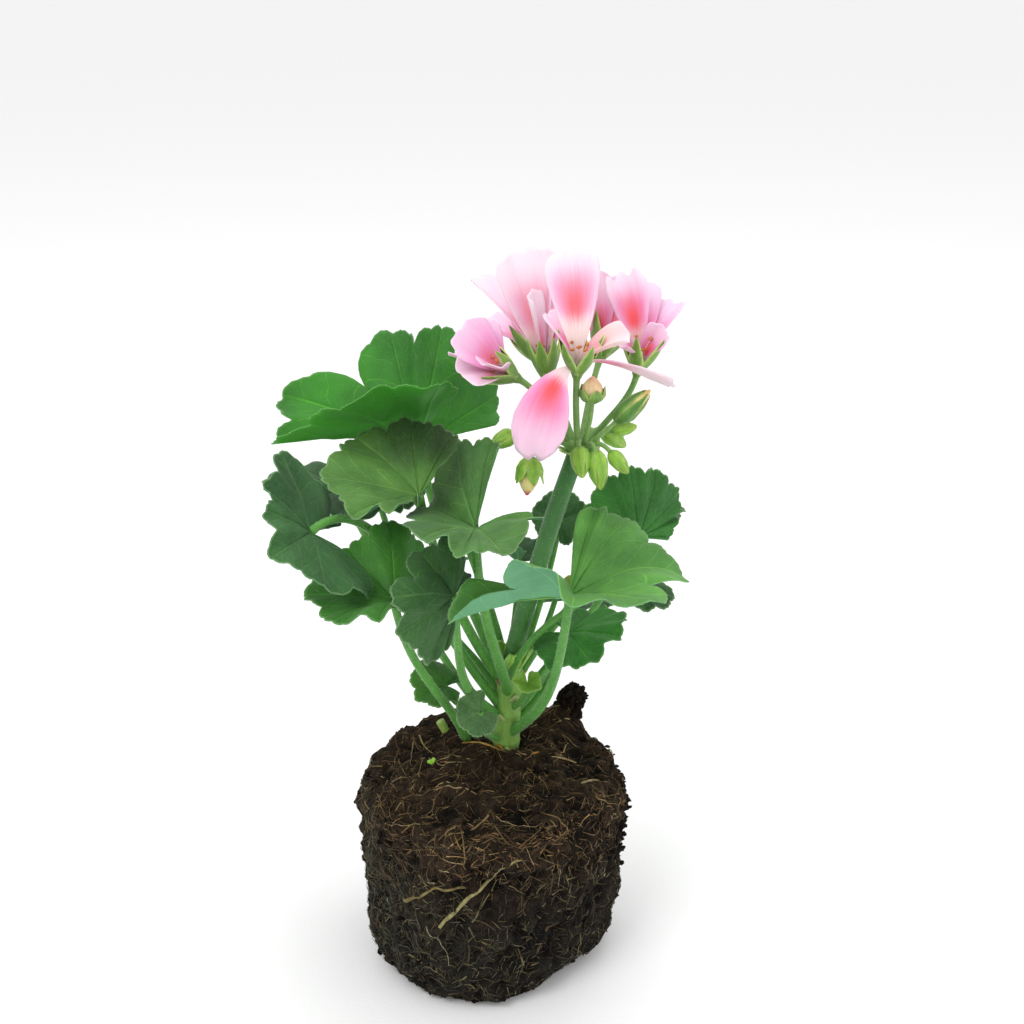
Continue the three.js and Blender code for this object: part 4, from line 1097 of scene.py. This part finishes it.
def level_at(z):
    """The level of the grid at a height on the ball's side."""
    return np.interp(z, PLAIN[:SIDE_LEVELS, 0, 2], np.arange(SIDE_LEVELS))


def column_at(compass):
    return compass / 360 * AROUND


def sample(u, v):
    """Surface points and normals at fractional columns u and levels v of the grid."""
    u = np.mod(u, AROUND)
    v = np.clip(v, 0, LEVELS - 1.001)
    i, j = v.astype(int), u.astype(int)
    f, g = (v - i)[..., None], (u - j)[..., None]
    j = j % AROUND
    k = (j + 1) % AROUND

    def mix(table):
        return between(between(table[i, j], table[i, k], g), between(table[i + 1, j], table[i + 1, k], g), f)

    return mix(SURFACE), unit(mix(NORMALS))


def scatter(n, low=0):
    """Columns and levels of n places spread evenly over the ball above the level low."""
    weight = RADIUS_AT[low:LEVELS - 1]
    v = rng.choice(np.arange(low, LEVELS - 1), n, p=weight / weight.sum()) + rng.uniform(0, 1, n)
    return rng.uniform(0, AROUND, n), v


def build_ball():
    shape = Shape()
    n = LEVELS * AROUND
    index = np.arange(n).reshape(LEVELS, AROUND)
    after = np.roll(index, -1, axis=1)
    quads = np.stack([index[:-1], after[:-1], after[1:], index[1:]], axis=-1).reshape(-1, 4)
    points = np.concatenate([SURFACE.reshape(-1, 3), [[0, 0, 0]], [SURFACE[-1].mean(axis=0)]])
    under = np.stack([np.full(AROUND, n), after[0], index[0]], axis=1)
    over = np.stack([np.full(AROUND, n + 1), index[-1], after[-1]], axis=1)
    z = PLAIN[..., 2:]
    peat_tone_and_shade = between(colour("#242420"), colour("#352b21"), smoothstep(20, 75, z))
    # Painted shade: the peat turns near black in the hollows of its relief.
    peat_tone_and_shade = between(colour("#0a0908"), peat_tone_and_shade, smoothstep(-2.4, 1.8, ROUGHNESS)[..., None])
    # Painted shadow: a dark band about 63 mm up, under the overhang and the band of chips. The noise here is the
    # peat's own uneven tone.
    peat_tone_and_shade = peat_tone_and_shade * (1 + 0.25 * noise(PLAIN, 18, 35)[..., None]) * (1 - 0.4 * np.exp(-((z - 63) / 5) ** 2))
    peat_tone_and_shade = peat_tone_and_shade.reshape(-1, 3)
    shape.add(points, [quads, under, over], dye=np.concatenate([peat_tone_and_shade, peat_tone_and_shade[:1], peat_tone_and_shade[-1:]]))
    shape.build("peat", PEAT, "peat", ["root_ball"])


# Roots and crumbs on the ball

TANS = palette("#86704a", "#a58d60", "#6d5438", "#54402c", "#7d6c50", "#b8a47c", "#5f4632", "#40362a")
FINE_ROOTS = [
    {"count": 4800, "length": (1.5, 5.5), "radius": (0.12, 0.33), "bend": 0.03, "steps": 4},
    {"count": 2300, "length": (3, 8), "radius": (0.08, 0.2), "bend": 0.07, "steps": 5},
    {"count": 750, "length": (5, 12), "radius": (0.06, 0.12), "bend": 0.15, "steps": 9},
]
# Compass headings, heights, colour and depth in the peat of the thick roots on the side
ROOTS = [
    ((249, 257, 264, 271, 276, 284), (40, 48, 57, 63, 69, 71), "#8a865a", 0.1),
    ((231, 247, 261), (45, 57, 59), "#70673f", 0.1),
    ((292, 300, 311, 318), (22, 34, 40, 52), "#4a3c2a", 0.55),
    ((205, 214, 222, 229), (66, 54, 50, 36), "#4a3c2a", 0.55),
    ((20, 31, 44, 52), (30, 44, 49, 62), "#4a3c2a", 0.55),
    ((80, 92, 99), (60, 48, 34), "#4a3c2a", 0.55),
    ((118, 128, 141, 150), (24, 40, 47, 61), "#4a3c2a", 0.55),
]
# Ends, radius, bow and colour of the straws on the top
STRAWS = [
    ((16.5, 3), (31, 11), 0.6, 0.8, "#b07c40"),
    ((25, 1), (36, 4), 0.35, 0.6, "#a89468"),
    ((-12, 8), (4, 3), 0.45, 1.6, "#a98a48"),
    ((2, 8), (5.5, 2), 0.5, 0.8, "#9a7434"),
    ((37, -14), (44, -8), 0.5, 0.4, "#8f8462"),
    ((-20, -2), (-13, -9), 0.35, 0.5, "#8a6a44"),
]
LOOSE_HEAP = {"at": vec(34, 33, 95), "reach": vec(6.5, 5.5, 9)}


def fibres(shape, u, v, turn, lengths, radii, dyes, lift, bend, steps, sides=3):
    """Fibres that wander over the ball from places u, v, up to about lift above its surface."""
    n = len(u)
    path = np.empty((n, steps, 3))
    hop = lengths / (steps - 1)
    height = rng.uniform(0.0, lift, n)
    swell = rng.uniform(0, 2 * math.pi, n)
    turning = rng.normal(0, bend, n)
    for s in range(steps):
        spot, normal = sample(u, v)
        path[:, s] = spot + normal * (height * (0.6 + 0.5 * np.sin(swell + 5.0 * s / steps)) - 0.1)[:, None]
        turning = 0.7 * turning + rng.normal(0, bend * 0.5, n)
        turn = turn + turning
        u = u + hop * np.cos(turn) / np.maximum(by_level(RADIUS_AT, v) * 2 * math.pi / AROUND, 0.3)
        v = v + hop * np.sin(turn) / LEVEL_STEP
    path[..., 2] = np.maximum(path[..., 2], 0.25)
    tubes(shape, path, radii[:, None] * np.linspace(1, 0.45, steps), sides, dyes)


def greyer_low_down(shades, v):
    """Fibres low on the ball are darker and greyer than those near the top."""
    low = 1 - smoothstep(50, 74, by_level(HEIGHT_AT, v))
    return shades * (1 - low[:, None] * vec(0.42, 0.26, 0.14))


def ground(x, y):
    """The point of the ball's top nearest above or below (x, y)."""
    top = SURFACE[CROWN_LEVEL:].reshape(-1, 3)
    return top[np.argmin(np.hypot(top[:, 0] - x, top[:, 1] - y))]


def build_fine_roots():
    for number, kind in enumerate(FINE_ROOTS, 1):
        shape, count = Shape(), kind["count"]
        u, v = scatter(count)
        shades = TANS[rng.choice(8, count, p=[0.14, 0.07, 0.2, 0.2, 0.1, 0.03, 0.1, 0.16])]
        shades = greyer_low_down(shades * rng.uniform(0.3, 1.1, (count, 1)), v)
        fibres(shape, u, v, rng.uniform(0, 2 * math.pi, count), rng.uniform(*kind["length"], count),
               rng.uniform(*kind["radius"], count), shades, 0.7, kind["bend"], kind["steps"])
        shape.build(f"fine_roots_{number}", FIBRE, "peat")


def build_band():
    """The band of chips round the front, and fine grey roots up the left side."""
    shape = Shape()
    count = 200
    u = rng.normal(column_at(274), 33, count)
    v = rng.normal(level_at(76), 7, count)
    shades = palette("#6a543c", "#866c4a", "#574636", "#94794e")[rng.integers(0, 4, count)]
    turn = rng.normal(0, 0.9, count) + math.pi * rng.integers(0, 2, count)
    fibres(shape, u, v, turn, rng.uniform(2.5, 8, count), rng.uniform(0.14, 0.38, count),
           shades * rng.uniform(0.45, 1.15, (count, 1)), 1.2, 0.06, 5)
    count = 900
    u = rng.normal(column_at(205), 24, count)
    v = rng.uniform(8, 88, count)
    shades = palette("#5a5f52", "#474a40", "#6d6c58")[rng.integers(0, 3, count)]
    turn = rng.normal(1.4, 0.7, count)
    fibres(shape, u, v, turn, rng.uniform(5, 16, count), rng.uniform(0.06, 0.13, count),
           shades * rng.uniform(0.6, 1.2, (count, 1)), 0.9, 0.3, 8)
    shape.build("fine_roots_4", FIBRE, "peat")


def build_thick_roots():
    shape = Shape()
    count = 260
    u, v = scatter(count)
    shades = greyer_low_down(TANS[rng.choice([0, 1, 4, 5, 2], count)] * rng.uniform(0.3, 0.85, (count, 1)), v)
    turn = rng.uniform(0, 2 * math.pi, count)
    lengths, radii = rng.uniform(7, 20, count), rng.uniform(0.2, 0.4, count)
    fibres(shape, u, v, turn, lengths, radii, shades, 0.8, 0.07, 10, 6)
    for compass, heights, dye, depth in ROOTS:
        t = np.linspace(0, len(compass) - 1, 34)
        knots = np.arange(len(compass))
        columns, levels = column_at(np.interp(t, knots, compass)), level_at(np.interp(t, knots, heights))
        spots, normal = sample(columns, levels)
        spots = spots - normal * depth
        path = np.copy(spots)
        path[1:-1] = (spots[:-2] + 2 * spots[1:-1] + spots[2:]) / 4
        path = path + 0.5 * np.stack([noise(path, 5, seed) for seed in (61, 62, 63)], axis=-1)
        tubes(shape, path, np.linspace(0.85, 0.5, len(t)) * (1 + 0.3 * noise(path, 2.5, 41)), 12, colour(dye))
    for start, end, radius, bow, dye in STRAWS:
        t = np.linspace(0, 1, 12)[:, None]
        path = between(ground(*start), ground(*end), t) + UP * (0.5 + bow * np.sin(math.pi * t))
        tubes(shape, path, radius * (1 - 0.5 * np.abs(2 * t[:, 0] - 1) ** 3), 8, colour(dye))
    shape.build("thick_roots", FIBRE, "peat")


def add_lumps(shape, centres, sizes, dyes):
    """Irregular crumbs with 20 triangles each."""
    g = (1 + math.sqrt(5)) / 2
    corner = unit(np.array([(-1, g, 0), (1, g, 0), (-1, -g, 0), (1, -g, 0), (0, -1, g), (0, 1, g),
                            (0, -1, -g), (0, 1, -g), (g, 0, -1), (g, 0, 1), (-g, 0, -1), (-g, 0, 1)]))
    faces = np.array([(0, 11, 5), (0, 5, 1), (0, 1, 7), (0, 7, 10), (0, 10, 11), (1, 5, 9), (5, 11, 4),
                      (11, 10, 2), (10, 7, 6), (7, 1, 8), (3, 9, 4), (3, 4, 2), (3, 2, 6), (3, 6, 8),
                      (3, 8, 9), (4, 9, 5), (2, 4, 11), (6, 2, 10), (8, 6, 7), (9, 8, 1)])
    n = len(centres)
    stretch = rng.uniform(0.55, 1.3, (n, 1, 3)) * vec(1, 1, 0.8)
    rough = 1 + rng.uniform(-0.42, 0.42, (n, 12, 1))
    points = centres[:, None] + corner * stretch * rough * sizes[:, None, None]
    index = faces + (np.arange(n) * 12)[:, None, None]
    shape.add(points, [index.reshape(-1, 3)], dye=np.repeat(np.broadcast_to(dyes, (n, 3)), 12, axis=0))


def build_crumbs():
    shape = Shape()
    count = 3600
    spots, normal = sample(*scatter(count, 4))
    kept = noise(spots, 7, 51) + rng.normal(0, 0.25, count) > 0.25
    spots, normal = spots[kept], normal[kept]
    size = 0.3 + 1.5 * rng.uniform(0, 1, len(spots)) ** 2.5
    pick = rng.choice(4, len(spots), p=[0.35, 0.25, 0.3, 0.1])
    add_lumps(shape, spots - normal * size[:, None] * 0.15, size,
              palette("#1a1411", "#2a2018", "#0e0b09", "#40342a")[pick])
    count = 260
    spots, normal = sample(rng.normal(column_at(8), 9, count), level_at(rng.normal(58, 12, count)))
    size = rng.uniform(0.5, 1.5, count)
    add_lumps(shape, spots + normal * rng.uniform(0, 1.6, (count, 1)), size, colour("#211b16"))
    count = 1700
    spots = unit(rng.normal(size=(count, 3))) * rng.uniform(0.3, 1, (count, 1)) ** 0.4
    spots = spots * LOOSE_HEAP["reach"] + LOOSE_HEAP["at"]
    spots[:, 0] += 0.15 * (spots[:, 2] - LOOSE_HEAP["at"][2])
    spots = spots[noise(spots, 4, 77) > -0.25]
    add_lumps(shape, spots, 0.4 + 1.2 * rng.uniform(0, 1, len(spots)) ** 2, colour("#211a14"))
    shape.build("peat_crumbs", PEAT, "peat", smooth=False)


def build_speck():
    shape = Shape()
    add_lumps(shape, np.array([[-24.6, -1.0, 85.6], [-23.3, -1.3, 86.3]]), vec(2.0, 1.4), colour("#93cf3c"))
    shape.build("green_speck", GREEN, "peat", smooth=False)


# Floor, light and camera

FLOOR_REACH = 30
AIM = vec(0, 0, 0.15)  # where the lights point
CAMERA = {"place": (0.009, -0.6, 0.415), "down": 20.2, "sensor": 36, "lens": 58.0078}


def build_floor():
    mesh = bpy.data.meshes.new("floor")
    corners = [(x * FLOOR_REACH, y * FLOOR_REACH, 0) for x, y in ((-1, -1), (1, -1), (1, 1), (-1, 1))]
    mesh.from_pydata(corners, [], [(0, 1, 2, 3)])
    mesh.materials.append(grained_material("white_floor", (0.965,) * 3, (0.98,) * 3, Roughness=0.9,
                                           Specular_IOR_Level=0.1))
    piece = place("floor", mesh)


def light(name, spot, size, power):
    lamp = bpy.data.lights.new(name, "AREA")
    lamp.shape, lamp.size, lamp.energy = "DISK", size, power
    piece = place(name, lamp)
    piece.location = spot
    toward = mathutils.Vector(AIM - vec(*spot))
    piece.rotation_euler = toward.to_track_quat("-Z", "Y").to_euler()


def build_view():
    world = bpy.data.worlds.new("studio")
    world.use_nodes = True
    back = world.node_tree.nodes["Background"]
    back.inputs["Color"].default_value = (1, 1, 1, 1)
    back.inputs["Strength"].default_value = 0.93
    bpy.context.scene.world = world
    light("key", (-0.55, -0.9, 1.25), 0.8, 7)
    light("fill", (1.1, -0.7, 0.7), 1.2, 2)
    light("top", (0.1, 0.3, 1.5), 1.0, 5)
    bpy.context.scene.view_settings.view_transform = "Standard"
    camera = place("camera", bpy.data.cameras.new("camera"))
    camera.location = CAMERA["place"]
    camera.rotation_euler = (math.radians(90 - CAMERA["down"]), 0, 0)
    camera.data.sensor_width = CAMERA["sensor"]
    camera.data.lens = CAMERA["lens"]
    bpy.context.scene.camera = camera


for index, one in enumerate(LEAVES, 1):
    build_leaf(f"leaf_{index:02d}", one, *(FINE_GRID if index <= FRONT_LEAVES else COARSE_GRID))
build_stem()
build_scales()
build_stub()
build_tip()
build_truss()
build_florets()
hairs.build("plant_hairs", HAIR, "leaf", smooth=False)
build_ball()
build_fine_roots()
build_band()
build_thick_roots()
build_crumbs()
build_speck()
build_floor()
build_view()
